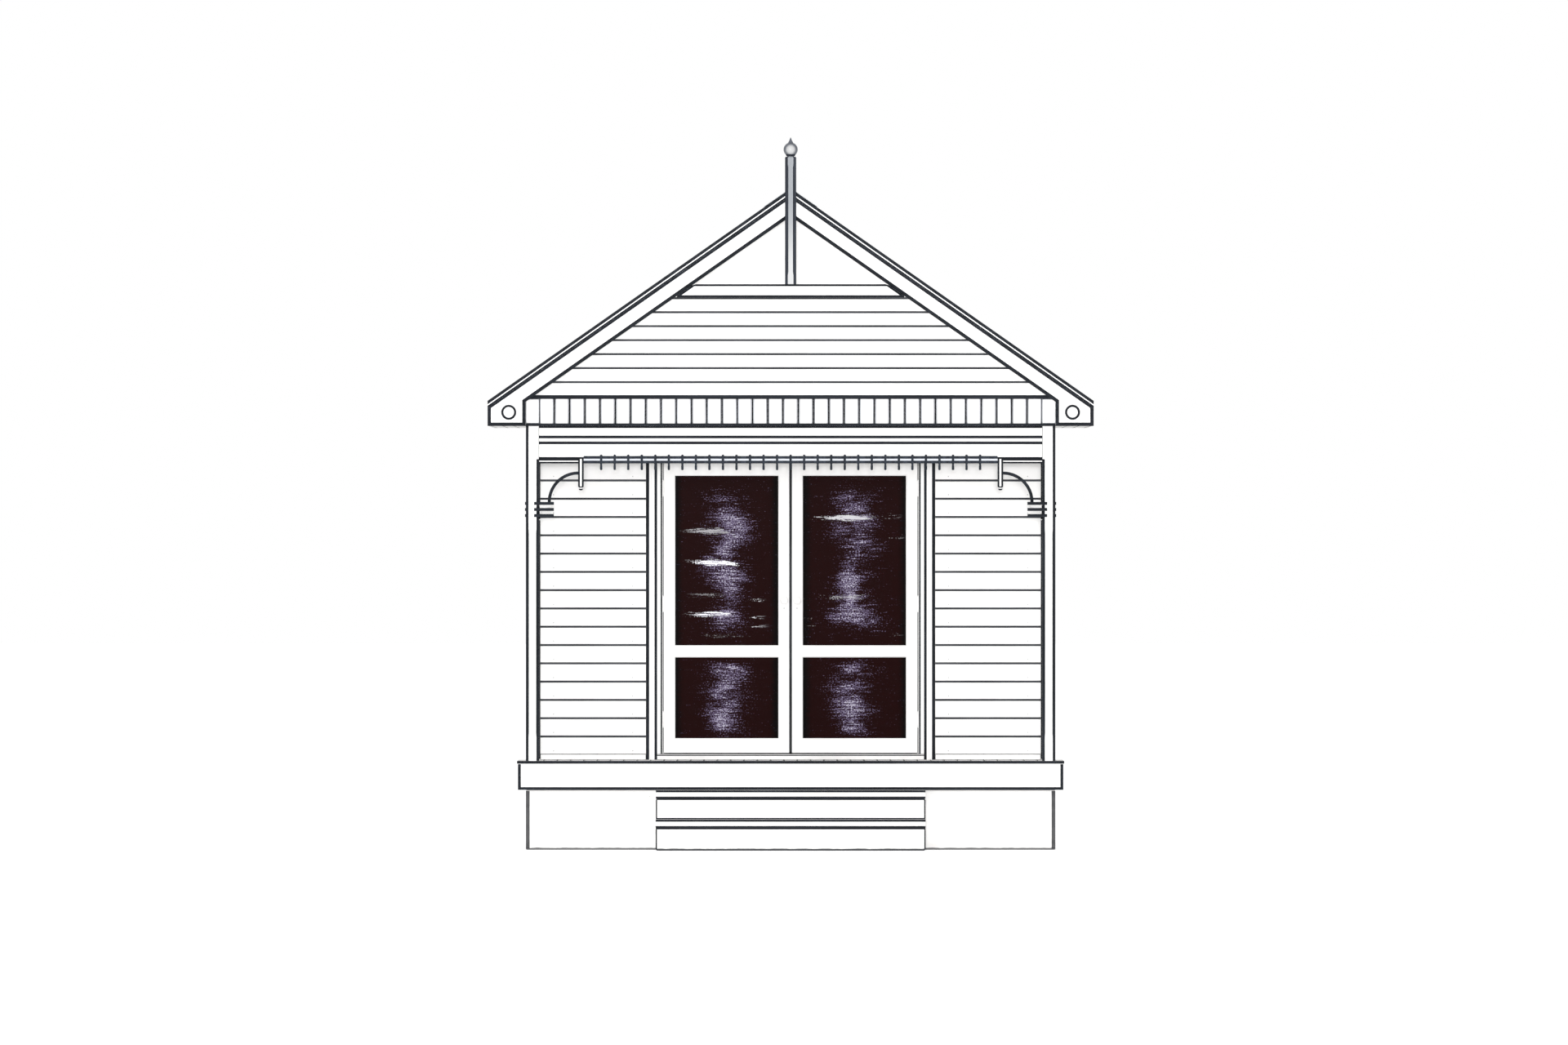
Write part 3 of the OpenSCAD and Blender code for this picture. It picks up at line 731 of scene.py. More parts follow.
    def bevelled(self, width: float, segments: int = 1, angle: float = 35.0,
                 profile: float = 0.5, kind: int = EDGE,
                 edges: Edges | None = None) -> "Workpiece":
        """Takes the sharp corners off.

        Args:
            width: The width of the bevel on each face.
            segments: How many faces make the bevel.
            angle: Corners that turn less than this, in degrees, stay.
            profile: The form of the bevel, round at 0.5.
            kind: How the bevel is finished.
            edges: The edges to take, or None for all sharp ones.

        Returns:
            This piece.
        """
        if edges is None:
            edges = [e for e in self.bm.edges if e.is_manifold
                     and e.calc_face_angle(0.0) > math.radians(angle)]
        bmesh.ops.bevel(self.bm, geom=edges, offset=width, offset_type="OFFSET",
                        segments=segments, profile=profile, affect="EDGES", clamp_overlap=True,
                        material=kind)
        return self

    def cut(self, point: Vector, normal: Vector) -> "Workpiece":
        """Saws off what lies beyond a plane, and closes the cut.

        Args:
            point: A point of the plane.
            normal: Its normal, on the side that goes.

        Returns:
            This piece.
        """
        geometry = [*self.bm.verts, *self.bm.edges, *self.bm.faces]
        bmesh.ops.bisect_plane(self.bm, geom=geometry, plane_co=point, plane_no=normal,
                               clear_outer=True, dist=1e-6)
        open_edges = [e for e in self.bm.edges if e.is_boundary]
        bmesh.ops.holes_fill(self.bm, edges=open_edges, sides=0)
        return self

    def between(self, low_z: float | None, high_z: float | None) -> "Workpiece":
        """Saws off what lies under one height and over another.

        Args:
            low_z: The lower height, or None.
            high_z: The upper height, or None.

        Returns:
            This piece.
        """
        if low_z is not None:
            self.cut(UP * low_z, -UP)
        if high_z is not None:
            self.cut(UP * high_z, UP)
        return self

    def mesh(self, name: str, finish: Finish, smooth: float = 0.0) -> bpy.types.Mesh:
        """Takes the mesh off the bench.

        Args:
            name: The mesh's name.
            finish: What its two slots hold.
            smooth: Corners under this angle, in degrees, are shaded smooth.

        Returns:
            The mesh.
        """
        mesh = bpy.data.meshes.new(name)
        for face in self.bm.faces:
            face.smooth = smooth > 0
        self.bm.to_mesh(mesh)
        for coat in finish.coats():
            mesh.materials.append(coat)
        if smooth:
            mesh.set_sharp_from_angle(angle=math.radians(smooth))
        return mesh

    def piece(self, name: str, finish: Finish, *nodes: str, body: str = STUDIO,
              smooth: float = 0.0) -> None:
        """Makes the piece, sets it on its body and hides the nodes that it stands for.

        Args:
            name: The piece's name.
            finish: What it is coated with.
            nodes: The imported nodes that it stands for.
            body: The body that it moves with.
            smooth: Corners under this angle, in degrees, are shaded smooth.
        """
        mesh = self.mesh(name, finish, smooth)
        piece = placed(name, mesh)
        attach(piece, body)
        if nodes:
            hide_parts(*nodes)
        self.bm.free()
        log.info("%s: %d faces on %s", name, len(mesh.polygons), body)


def planed(node: str, finish: Finish, width: float, name: str = "",
           pick: Callable[[Workpiece], Edges] | None = None) -> None:
    """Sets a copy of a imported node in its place, with its arrises taken off.

    Args:
        node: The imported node.
        finish: What the copy is coated with.
        width: The width of the bevels.
        name: The piece's name, where it isn't the node's name and "planed".
        pick: Finds the edges to take, or None for all sharp ones.
    """
    work = Workpiece.of_node(node)
    work.bevelled(width, edges=pick(work) if pick else None)
    work.piece(name or f"{node}_planed", finish, node)


def dress(finish: Finish, *nodes: str) -> None:
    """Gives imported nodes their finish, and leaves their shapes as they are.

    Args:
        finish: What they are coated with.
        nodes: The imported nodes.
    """
    for node in nodes:
        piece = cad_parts[node]
        piece.data.materials.clear()
        piece.data.materials.append(finish.coat(FACE))
        for polygon in piece.data.polygons:
            polygon.material_index = 0
        log.info("%s: packed node, %s", node, finish.name)


def levels(node: str, axis: int) -> list[float]:
    """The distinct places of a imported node's corners along one axis, in order."""
    return sorted({round(v.co[axis], 4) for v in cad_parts[node].data.vertices})


# ---- what repeats ----


class Tree(NodeDesk):
    """A Geometry Nodes tree with named inputs, which ends in real mesh and two finishes."""

    KINDS = {int: "NodeSocketInt", float: "NodeSocketFloat", Vector: "NodeSocketVector",
             Material: "NodeSocketMaterial"}

    def __init__(self, name: str, inputs: dict[str, type]) -> None:
        """Makes the tree with its inputs.

        Args:
            name: The tree's name.
            inputs: The type of each named input.
        """
        super().__init__(bpy.data.node_groups.new(name, "GeometryNodeTree"))
        face = self.tree.interface
        face.new_socket("Geometry", in_out="INPUT", socket_type="NodeSocketGeometry")
        named = {**inputs, "Faces": Material, "Edges": Material}
        self.keys = {label: face.new_socket(label, in_out="INPUT", socket_type=self.KINDS[kind])
                     .identifier for label, kind in named.items()}
        face.new_socket("Geometry", in_out="OUTPUT", socket_type="NodeSocketGeometry")
        self.entry = self.tree.nodes.new("NodeGroupInput")

    def given(self, label: str) -> Signal:
        """The value of a named input."""
        return Signal(self, self.pick(self.entry.outputs, label))

    def end(self, instances: Signal) -> None:
        """Realizes the instances, and sets the finishes of faces and edges.

        Args:
            instances: The tree's last geometry.
        """
        real = self.add("GeometryNodeRealizeInstances", None, {"Geometry": instances})
        marked = self.add("GeometryNodeInputNamedAttribute", {"data_type": "FLOAT"},
                          {"Name": "edge"}, "Attribute")
        coated = self.add("GeometryNodeSetMaterial", None,
                          {"Geometry": real, "Material": self.given("Faces")})
        coated = self.add("GeometryNodeSetMaterial", None,
                          {"Geometry": coated, "Selection": marked,
                           "Material": self.given("Edges")})
        self.add("NodeGroupOutput", None, {"Geometry": coated})

    def grow(self, work: Workpiece, finish: Finish, values: dict) -> Workpiece:
        """Runs the tree on a piece.

        Args:
            work: The piece that the tree starts from, which is used up.
            finish: The finish of the result.
            values: The values of the named inputs.

        Returns:
            The result as a plain mesh on the bench.
        """
        mesh = work.mesh("pattern", finish)
        marks = mesh.attributes.new("edge", "FLOAT", "FACE")
        for polygon in mesh.polygons:
            marks.data[polygon.index].value = polygon.material_index
        holder = placed("pattern", mesh)
        modifier = holder.modifiers.new("grow", "NODES")
        modifier.node_group = self.tree
        coats = {"Faces": finish.coat(FACE), "Edges": finish.coat(EDGE)}
        for label, value in {**values, **coats}.items():
            modifier[self.keys[label]] = value
        graph = bpy.context.evaluated_depsgraph_get()
        made = bpy.data.meshes.new_from_object(holder.evaluated_get(graph))
        order = {coat.name: kind for kind, coat in enumerate(finish.coats())}
        slots = [order.get(m.name if m else "", FACE) for m in made.materials] or [FACE]
        for polygon in made.polygons:
            polygon.material_index = slots[polygon.material_index]
        grown = Workpiece()
        grown.bm.from_mesh(made)
        work.bm.free()
        bpy.data.objects.remove(holder)
        bpy.data.meshes.remove(mesh)
        bpy.data.meshes.remove(made)
        return grown


class RowTree(Tree):
    """Sets like pieces in a row, each with its own tone."""

    def __init__(self) -> None:
        """Builds the tree."""
        super().__init__("row", {"Count": int, "Step": Vector, "Seed": int})
        points = self.add("GeometryNodeMeshLine", None,
                          {"Count": self.given("Count"), "Offset": self.given("Step")})
        copies = self.add("GeometryNodeInstanceOnPoints", None,
                          {"Points": points, "Instance": self.given("Geometry")})
        tone = self.add("FunctionNodeRandomValue", None,
                        {"Min": -1.0, "Max": 1.0, "Seed": self.given("Seed")})
        self.end(self.add("GeometryNodeStoreNamedAttribute",
                          {"data_type": "FLOAT", "domain": "INSTANCE"},
                          {"Geometry": copies, "Name": "tone", "Value": tone}))

    def of(self, work: Workpiece, finish: Finish, count: int, step: Vector,
           seed: int = 0) -> Workpiece:
        """A row of count pieces like this one, a step apart; the seed chooses their tones."""
        return self.grow(work, finish, {"Count": count, "Step": tuple(step), "Seed": seed})

    def jointed(self, low: Vector, high: Vector, count: int, joint: float,
                seed: int) -> Workpiece:
        """Fills a box with ceiling boards from front to back.

        Args:
            low: The box's lowest corner.
            high: Its highest corner.
            count: How many boards.
            joint: The height of the V joints between them, and half their width.
            seed: Chooses the tones.

        Returns:
            The boards.
        """
        pitch, thick = (high.x - low.x) / count, high.z - low.z
        outline = [(0, joint), (joint, 0), (pitch - joint, 0), (pitch, joint), (pitch, thick),
                   (0, thick)]
        board = Workpiece().prism(outline, low, BACK * (high.y - low.y), [0, 2])
        return self.of(board, WHITE_DEEP, count, RIGHT * pitch, seed)


class CorrugationTree(Tree):
    """Presses a flat sheet into waves that run along X, and lifts its lapping side."""

    def __init__(self) -> None:
        """Builds the tree."""
        super().__init__("corrugation", {"Pitch": float, "Amplitude": float, "Lap": float,
                                         "Width": float, "Length": float, "Columns": int})
        flat = self.add("GeometryNodeMeshGrid", None,
                        {"Size X": self.given("Length"), "Size Y": self.given("Width"),
                         "Vertices X": 3, "Vertices Y": self.given("Columns")})
        place = self.add("GeometryNodeInputPosition")
        across = self.add("ShaderNodeSeparateXYZ", None, {0: place}, "Y")
        wave = (across / self.given("Pitch") * math.tau).math("COSINE") * self.given("Amplitude")
        lift = across / self.given("Width") * self.given("Lap")
        offset = self.add("ShaderNodeCombineXYZ", None, {"Z": wave + lift})
        self.end(self.add("GeometryNodeSetPosition", None, {"Geometry": flat, "Offset": offset}))


# ---- the building's planes ----


@dataclass(frozen=True)
class Plan:
    """Where the building's planes lie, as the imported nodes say.

    The drops are measured plumb below the top of the roof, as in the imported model.
    """

    half_w: float
    post_x: float
    beam_x: float
    wall_x: float
    wall_in_x: float
    eave_x: float
    y_post: float
    y_beam: float
    y_wall: float
    y_inside: float
    y_back: float
    y_verge: float
    y_verge_back: float
    deck_z: float
    floor_z: float
    beam_z: float
    eave_z: float
    frieze_z: float
    tie_z: float
    apex_z: float
    fall: float
    sheet_drop: float = 0.0063
    wall_drop: float = 0.0286
    lining_drop: float = 0.179

    @classmethod
    def read(cls) -> "Plan":
        """Reads the planes from the imported nodes.

        Returns:
            The plan.
        """
        post_lo, post_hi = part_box("post_right")
        beam_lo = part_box("front_beam")[0]
        wall_lo, wall_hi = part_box("wall_right")
        gable_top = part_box("front_gable")[1].z
        roof_lo, roof_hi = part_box("roof_right")
        return cls(
            half_w=post_hi.x, post_x=post_lo.x, beam_x=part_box("side_beams")[1].x,
            wall_x=wall_hi.x, wall_in_x=wall_lo.x, eave_x=roof_hi.x,
            y_post=post_lo.y, y_beam=beam_lo.y, y_wall=wall_lo.y,
            y_inside=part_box("room_ceiling")[0].y, y_back=wall_hi.y,
            y_verge=roof_lo.y, y_verge_back=roof_hi.y,
            deck_z=post_lo.z, floor_z=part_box("room_floor")[1].z, beam_z=beam_lo.z,
            eave_z=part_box("fascias")[0].z, frieze_z=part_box("front_frieze")[1].z,
            tie_z=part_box("collar_tie")[0].z, apex_z=gable_top + cls.wall_drop,
            fall=(gable_top - wall_hi.z) / wall_lo.x)

    @property
    def post_w(self) -> float:
        """The width of the posts and of the corner boards."""
        return self.half_w - self.post_x

    @property
    def pitch(self) -> float:
        """The roof's pitch, in radians."""
        return math.atan(self.fall)

    def roof_z(self, x: float, drop: float) -> float:
        """The height at a distance from the ridge, a drop below the top of the roof."""
        return self.apex_z - abs(x) * self.fall - drop

    def roof_x(self, z: float, drop: float) -> float:
        """The distance from the ridge at which a drop reaches a height."""
        return (self.apex_z - drop - z) / self.fall

    def trimmed(self, work: Workpiece, drop: float) -> Workpiece:
        """Saws a piece off along both slopes.

        Args:
            work: The piece.
            drop: How far the saw runs below the top of the roof.

        Returns:
            The piece.
        """
        for side in (-1, 1):
            work.cut(UP * (self.apex_z - drop), Vector((side * self.fall, 0, 1)))
        return work


def arc(centre: tuple[float, float], radius: float, start: float, end: float,
        steps: int) -> Outline:
    """Points along an arc between two angles in degrees, with both ends."""
    angles = (math.radians(start + (end - start) * k / steps) for k in range(steps + 1))
    return [(centre[0] + radius * math.cos(a), centre[1] + radius * math.sin(a)) for a in angles]


def span(side: int, near: float, far: float) -> tuple[float, float]:
    """Both ends of a stretch on one side of the middle, the lower one first."""
    return (near, far) if side > 0 else (-far, -near)


CUTS = (1, 3, 5, 7)  # the cut corners among an octagon's sides


def octagon(low: Sequence[float], high: Sequence[float], left: float, right: float) -> Outline:
    """A rectangle with its corners cut, by left on its left side and by right on its right."""
    return [(low[0] + left, low[1]), (high[0] - right, low[1]), (high[0], low[1] + right),
            (high[0], high[1] - right), (high[0] - right, high[1]), (low[0] + left, high[1]),
            (low[0], high[1] - left), (low[0], low[1] + left)]


# ---- base, deck and steps ----


@dataclass
class Base:
    """The rendered plinth, the boarded deck with its fascia, and the steps."""

    plan: Plan
    rows: RowTree
    render_bevel: float = 0.008
    board_t: float = 0.022
    board_count: int = 39
    board_gap: float = 0.005
    arris: float = 0.0025
    fascia_in: float = 0.007
    nosing_w: float = 0.090
    line: float = 0.0145
    nosing_line: float = 0.019
    corner_line: float = 0.020
    plinth_line: float = 0.026
    nosing_soft: float = 0.002
    frame_gap: float = 0.002
    strip_proud: float = 0.0008
    tread_boards: int = 3
    tread_arris: float = 0.003
    riser_bevel: float = 0.009

    def plinth(self) -> None:
        """One rendered wall all round, with its corners rubbed round."""
        low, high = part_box("plinth_front")
        y_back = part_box("plinth_back")[1].y
        thick = high.y - low.y
        path = [Vector((x, y, 0)) for x, y in ((low.x, low.y), (low.x, y_back),
                                               (high.x, y_back), (high.x, low.y))]
        outline = [(0, 0), (thick, 0), (thick, high.z), (0, high.z)]
        work = Workpiece().sweep(path, UP, outline, closed=True)
        work.bevelled(self.plinth_line, edges=[
            e for e in work.bm.edges if abs(e.verts[0].co.z - e.verts[1].co.z) > high.z / 2])
        work.bevelled(self.render_bevel, 2, kind=FACE, angle=SQUARE)
        work.piece("rendered_plinth", RENDER, "plinth_front", "plinth_sides", "plinth_back",
                   smooth=40)

    def deck(self) -> None:
        """Boards from front to back inside a mitred nosing, over a near-black block of painted
        shade and a fascia.
        """
        low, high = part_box("deck_fascia_front")
        y_wall = self.plan.y_wall
        t, top, nosing_w = self.board_t, high.z, self.nosing_w
        left, right = low.x + nosing_w, high.x - nosing_w
        pitch = (right - left) / self.board_count
        first = left + self.board_gap / 2
        board = Workpiece().block((first, low.y + nosing_w + self.board_gap, top - t),
                                  (first + pitch - self.board_gap, y_wall, top))
        board.bevelled(self.arris)
        boards = self.rows.of(board, DECK, self.board_count, RIGHT * pitch, 3)
        boards.piece("deck_boards", DECK, "verandah_deck", smooth=35)

        path = [Vector((low.x, y_wall, top)), Vector((low.x, low.y, top)),
                Vector((high.x, low.y, top)), Vector((high.x, y_wall, top))]
        soft = self.nosing_soft
        outline = [(-nosing_w, -t), (0, -t), (0, -self.nosing_line), (0, -soft), (-soft, 0),
                   (self.arris - nosing_w, 0), (-nosing_w, -self.arris)]
        Workpiece().sweep(path, UP, outline, [2, 3, 5]).piece("deck_nosing", TREAD)

        # A near-black block under the boards: painted shade that shows through the gaps between
        # them.
        inner_lo, inner_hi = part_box("verandah_deck")
        Workpiece().line(inner_lo, (inner_hi.x, inner_hi.y, top - t - self.frame_gap)).piece(
            "deck_gap_shade", DECK)

        thick = inner_lo.y - low.y
        inset = -self.fascia_in
        drop = low.z - top
        outline = [(-thick, drop), (inset - self.line * 0.5, drop),
                   (inset, drop + self.line * 1.3), (inset, -t), (-thick, -t)]
        fascia = Workpiece().sweep(path, UP, outline, [1])
        proud, wide = self.fascia_in - self.strip_proud, self.corner_line
        for side in (-1, 1):
            x0, x1 = span(side, high.x - proud - wide, high.x - proud)
            fascia.line((x0, low.y + proud, low.z), (x1, low.y + proud + wide, top - t))
        fascia.piece("deck_fascia", WHITE, "deck_fascia_front", "deck_fascia_sides")

    def steps(self) -> None:
        """Boarded treads with round noses, and risers and stringers under them."""
        low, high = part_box("treads")
        riser_lo, riser_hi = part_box("step_risers")
        y_upper = levels("step_risers", 1)[2] - (riser_lo.y - low.y)
        heights = levels("treads", 2)
        flights = [(low.y, riser_hi.y, *heights[:2]),
                   (y_upper, self.plan.y_post, *heights[2:])]
        work = Workpiece()
        for y_front, y_end, under, top in flights:
            deep = (y_end - y_front + self.board_gap) / self.tread_boards
            for k in range(self.tread_boards):
                y0 = y_front + k * deep
                y1 = y0 + deep - self.board_gap
                c = self.line if k == 0 else self.tread_arris
                outline = [(y0 + c, under), (y1, under), (y1, top), (y0 + c * 0.6, top),
                           (y0, top - c), (y0, under + c)]
                work.prism(outline, RIGHT * low.x, RIGHT * (high.x - low.x), [3, 5], BACK)
        work.piece("tread_boards", TREAD, "treads", smooth=35)
        for node in ("step_risers", "step_stringers"):
            planed(node, WHITE, self.riser_bevel)

    def make(self) -> None:
        """Builds the base."""
        self.plinth()
        self.deck()
        self.steps()


# ---- cladding ----


@dataclass
class Cladding:
    """Weatherboards on the four walls and both gables, the frieze and the corner boards."""

    plan: Plan
    rows: RowTree
    cover: float = 0.125
    butt: float = 0.020
    top: float = 0.010
    groove: float = 0.0128
    groove_in: float = 0.004
    groove_slope: float = 0.0015
    arris: float = 0.0018
    rows_below: int = 2
    gable_rows: int = 7
    frieze_count: int = 33
    frieze_t: float = 0.013
    frieze_joint: float = 0.0076
    stile_bevel: float = 0.004
    shadow_strip_low: float = 0.018
    shadow_strip_high: float = 0.025
    shadow_strip_out: float = 0.020
    panel_t: float = 0.014
    soft: float = 0.002
    seam: float = 0.0006
    trim: float = 0.0005
    lining_gap: float = 0.001
    corner_bevel: float = 0.010
    nail_r: float = 0.0035
    nail_in: float = 0.0015
    nail_up: float = 0.022
    wall_nails: int = 7
    wall_nail_end: float = 0.10
    front_nails: int = 2
    front_nail_end: float = 0.09

    def board(self, cover: float) -> tuple[Outline, list[int]]:
        """A weatherboard's section: a thick butt, a tapering face and a near-black groove, painted
        shade with some grime.

        Args:
            cover: The height that one board shows.

        Returns:
            The points (out, up), and the sides that are finished as edges.
        """
        ledge = cover - self.groove
        outline = [(0, 0), (self.butt - self.arris, 0), (self.butt, self.arris),
                   (self.top, ledge), (self.groove_in, ledge + self.groove_slope),
                   (self.groove_in, cover), (0, cover)]
        # The butt's underside and arris and the groove take the edge coat: painted shade, with some
        # grime, under the next board.
        return outline, [0, 1, 3, 4]

    def boards(self, start: Vector, run: Vector, count: int, seed: int,
               cover: float | None = None) -> Workpiece:
        """Lays boards up a wall.

        Args:
            start: The foot of the first board at one end, on the wall's face.
            run: Along the wall; the boards face to the right of it, seen from above.
            count: How many boards.
            seed: Chooses their tones.
            cover: The height that one board shows, or None for the walls' own.

        Returns:
            The boards.
        """
        cover = cover or self.cover
        outline, marks = self.board(cover)
        work = Workpiece().prism(outline, start, run, marks)
        return self.rows.of(work, BOARDS, count, UP * cover, seed)

    def nails(self, start: Vector, run: Vector, count: int, end: float, rows: int,
              first_row: int = 0) -> Workpiece:
        """Painted nail heads over the studs, one above each butt.

        Args:
            start: The foot of the first board at one end, on the wall's face.
            run: Along the boards, as they were laid.
            count: How many to a row.
            end: From the ends of the boards to the nearest nails.
            rows: How many rows.
            first_row: How many boards lie below the first row.

        Returns:
            The nails.
        """
        along = run.normalized()
        out = along.cross(UP)
        place = (start + along * end + out * (self.butt - self.nail_in)
                 + UP * (self.nail_up + first_row * self.cover))
        r = self.nail_r
        head = Workpiece().turned([(r, -0.004), (r, 0.0004), (r * 0.6, 0.0009)], place, out, 8, [1])
        line = self.rows.of(head, BOARDS, count, (run - along * (2 * end)) / (count - 1))
        return self.rows.of(line, BOARDS, rows, UP * self.cover)

    def front_wall(self) -> None:
        """Boards either side of the doorway and over it, on a plain strip at the deck."""
        plan = self.plan
        trim_lo, trim_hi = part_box("architrave")
        count = math.ceil((plan.eave_z - plan.floor_z) / self.cover)
        work = Workpiece()
        for side in (-1, 1):
            x0, x1 = span(side, trim_hi.x + self.seam, plan.post_x - self.seam)
            start, run = Vector((x0, plan.y_wall, plan.floor_z)), RIGHT * (x1 - x0)
            work.add(self.boards(start, run, count, 11 + side))
            strip = Workpiece().block((x0, plan.y_wall - self.butt, plan.deck_z),
                                      (x1, plan.y_wall, plan.floor_z - self.soft))
            work.add(strip.bevelled(self.soft))
            work.add(self.nails(start, run, self.front_nails, self.front_nail_end, count - 1))
        work.between(None, plan.eave_z - self.trim)
        outline, marks = self.board(self.cover)
        over = Workpiece().prism(outline, Vector((trim_lo.x, plan.y_wall, trim_hi.z + self.seam)),
                                 RIGHT * (trim_hi.x - trim_lo.x), marks)
        work.add(over.between(None, plan.eave_z - self.trim))
        work.piece("weatherboards_front", BOARDS)

    @property
    def first_z(self) -> float:
        """The foot of the lowest board on the side and back walls."""
        return self.plan.floor_z - self.rows_below * self.cover

    @property
    def wall_rows(self) -> int:
        """How many boards reach from there to the eaves."""
        return math.ceil((self.plan.eave_z - self.first_z) / self.cover)

    def closed_wall(self, start: Vector, run: Vector, seed: int, foot: float) -> Workpiece:
        """The boards and nails of a wall without openings, from its foot to the eaves.

        Args:
            start: One end of the wall's face, at the foot of the lowest board.
            run: Along the wall; the boards face to the right of it, seen from above.
            seed: Chooses the boards' tones.
            foot: The height at which the boards are sawn off.

        Returns:
            The wall.
        """
        work = self.boards(start, run, self.wall_rows, seed)
        work.add(self.nails(start, run, self.wall_nails, self.wall_nail_end,
                            self.wall_rows - 2, 1))
        return work.between(foot + self.trim, self.plan.eave_z - self.trim)

    def side_walls(self) -> None:
        """Boards on both long walls, between the corner boards."""
        plan = self.plan
        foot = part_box("wall_right")[0].z
        inset = plan.post_w + self.seam
        y0, y1 = plan.y_wall + inset, plan.y_back - inset
        for side, name in ((-1, "left"), (1, "right")):
            start = Vector((side * plan.wall_x, y0 if side > 0 else y1, self.first_z))
            work = self.closed_wall(start, BACK * ((y1 - y0) * side), 23 + side, foot)
            work.piece(f"weatherboards_{name}", BOARDS_DEEP)

    def back_wall(self) -> None:
        """Boards on the back wall, and on its gable up to the verge lining."""
        plan = self.plan
        inner = plan.post_x - self.seam
        work = self.closed_wall(Vector((inner, plan.y_back, self.first_z)), RIGHT * (-2 * inner),
                                31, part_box("wall_back")[0].z)
        wide = plan.half_w - self.seam
        gable_z = self.first_z + (self.wall_rows - 1) * self.cover
        rows = math.ceil((plan.apex_z - gable_z) / self.cover)
        gable = self.boards(Vector((wide, plan.y_back, gable_z)), RIGHT * (-2 * wide), rows, 37)
        gable.between(plan.eave_z + self.trim, None)
        work.add(plan.trimmed(gable, plan.lining_drop + self.lining_gap))
        work.piece("weatherboards_back", BOARDS)

    def front_gable(self) -> None:
        """Rows of boards up to the collar tie, and one plain panel above it."""
        plan = self.plan
        cover = (plan.tie_z - plan.frieze_z) / self.gable_rows
        wide = plan.half_w - self.seam
        start = Vector((-wide, plan.y_post, plan.frieze_z))
        work = self.boards(start, RIGHT * (2 * wide), self.gable_rows, 41, cover)
        drop = plan.lining_drop + self.lining_gap
        plan.trimmed(work, drop)
        reach = plan.roof_x(plan.tie_z, drop)
        outline = [(-reach, plan.tie_z), (reach, plan.tie_z), (0, plan.roof_z(0, drop))]
        panel = Workpiece().prism(outline, BACK * (plan.y_post - self.panel_t),
                                  BACK * self.panel_t)
        work.add(panel.bevelled(self.soft))
        work.piece("gable_boards", BOARDS)
        dress(LINING_X, "front_gable")

    def frieze(self) -> None:
        """Upright boards with dark joints between two end stiles, and two near-black strips of
        painted shadow.
        """
        plan = self.plan
        pitch = 2 * plan.post_x / self.frieze_count
        foot, shoulder, back = self.frieze_joint * 0.6, self.frieze_joint * 1.6, -0.001
        t, low_z = self.frieze_t, plan.eave_z + self.shadow_strip_low
        high_z = plan.frieze_z - self.shadow_strip_high
        outline = [(0, 0), (foot, 0), (foot, t * 0.45), (shoulder, t), (pitch - shoulder, t),
                   (pitch - foot, t * 0.45), (pitch - foot, 0), (pitch, 0), (pitch, back),
                   (0, back)]
        board = Workpiece().prism(outline, Vector((-plan.post_x, plan.y_post, low_z)),
                                  UP * (high_z - low_z), [0, 1, 2, 4, 5, 6], RIGHT, -BACK)
        work = self.rows.of(board, FRIEZE, self.frieze_count, RIGHT * pitch, 53)
        for side in (-1, 1):
            x0, x1 = span(side, plan.post_x, plan.half_w)
            stile = Workpiece().block((x0, plan.y_post - t, low_z), (x1, plan.y_post, high_z))
            work.add(stile.bevelled(self.stile_bevel))
        work.piece("frieze_boards", FRIEZE)
        # Near-black strips along the frieze's foot and top: painted shadow gaps.
        wide, out = plan.half_w, plan.y_post - self.shadow_strip_out
        shadow_strips = Workpiece().line((-wide, out, high_z), (wide, plan.y_post, plan.frieze_z))
        shadow_strips.line((-wide, out, plan.eave_z), (wide, plan.y_post, low_z))
        shadow_strips.piece("frieze_shadow_strips", WHITE)
        dress(WHITE, "front_frieze")

    def make(self) -> None:
        """Clads the building."""
        self.front_wall()
        self.side_walls()
        self.back_wall()
        self.front_gable()
        self.frieze()
        planed("corner_boards", WHITE_UP, self.corner_bevel)
        dress(LINING_X, "front_wall_left", "front_wall_right", "front_wall_over_door",
              "wall_back")
        dress(LINING_Y, "wall_left", "wall_right")


# ---- doorway ----


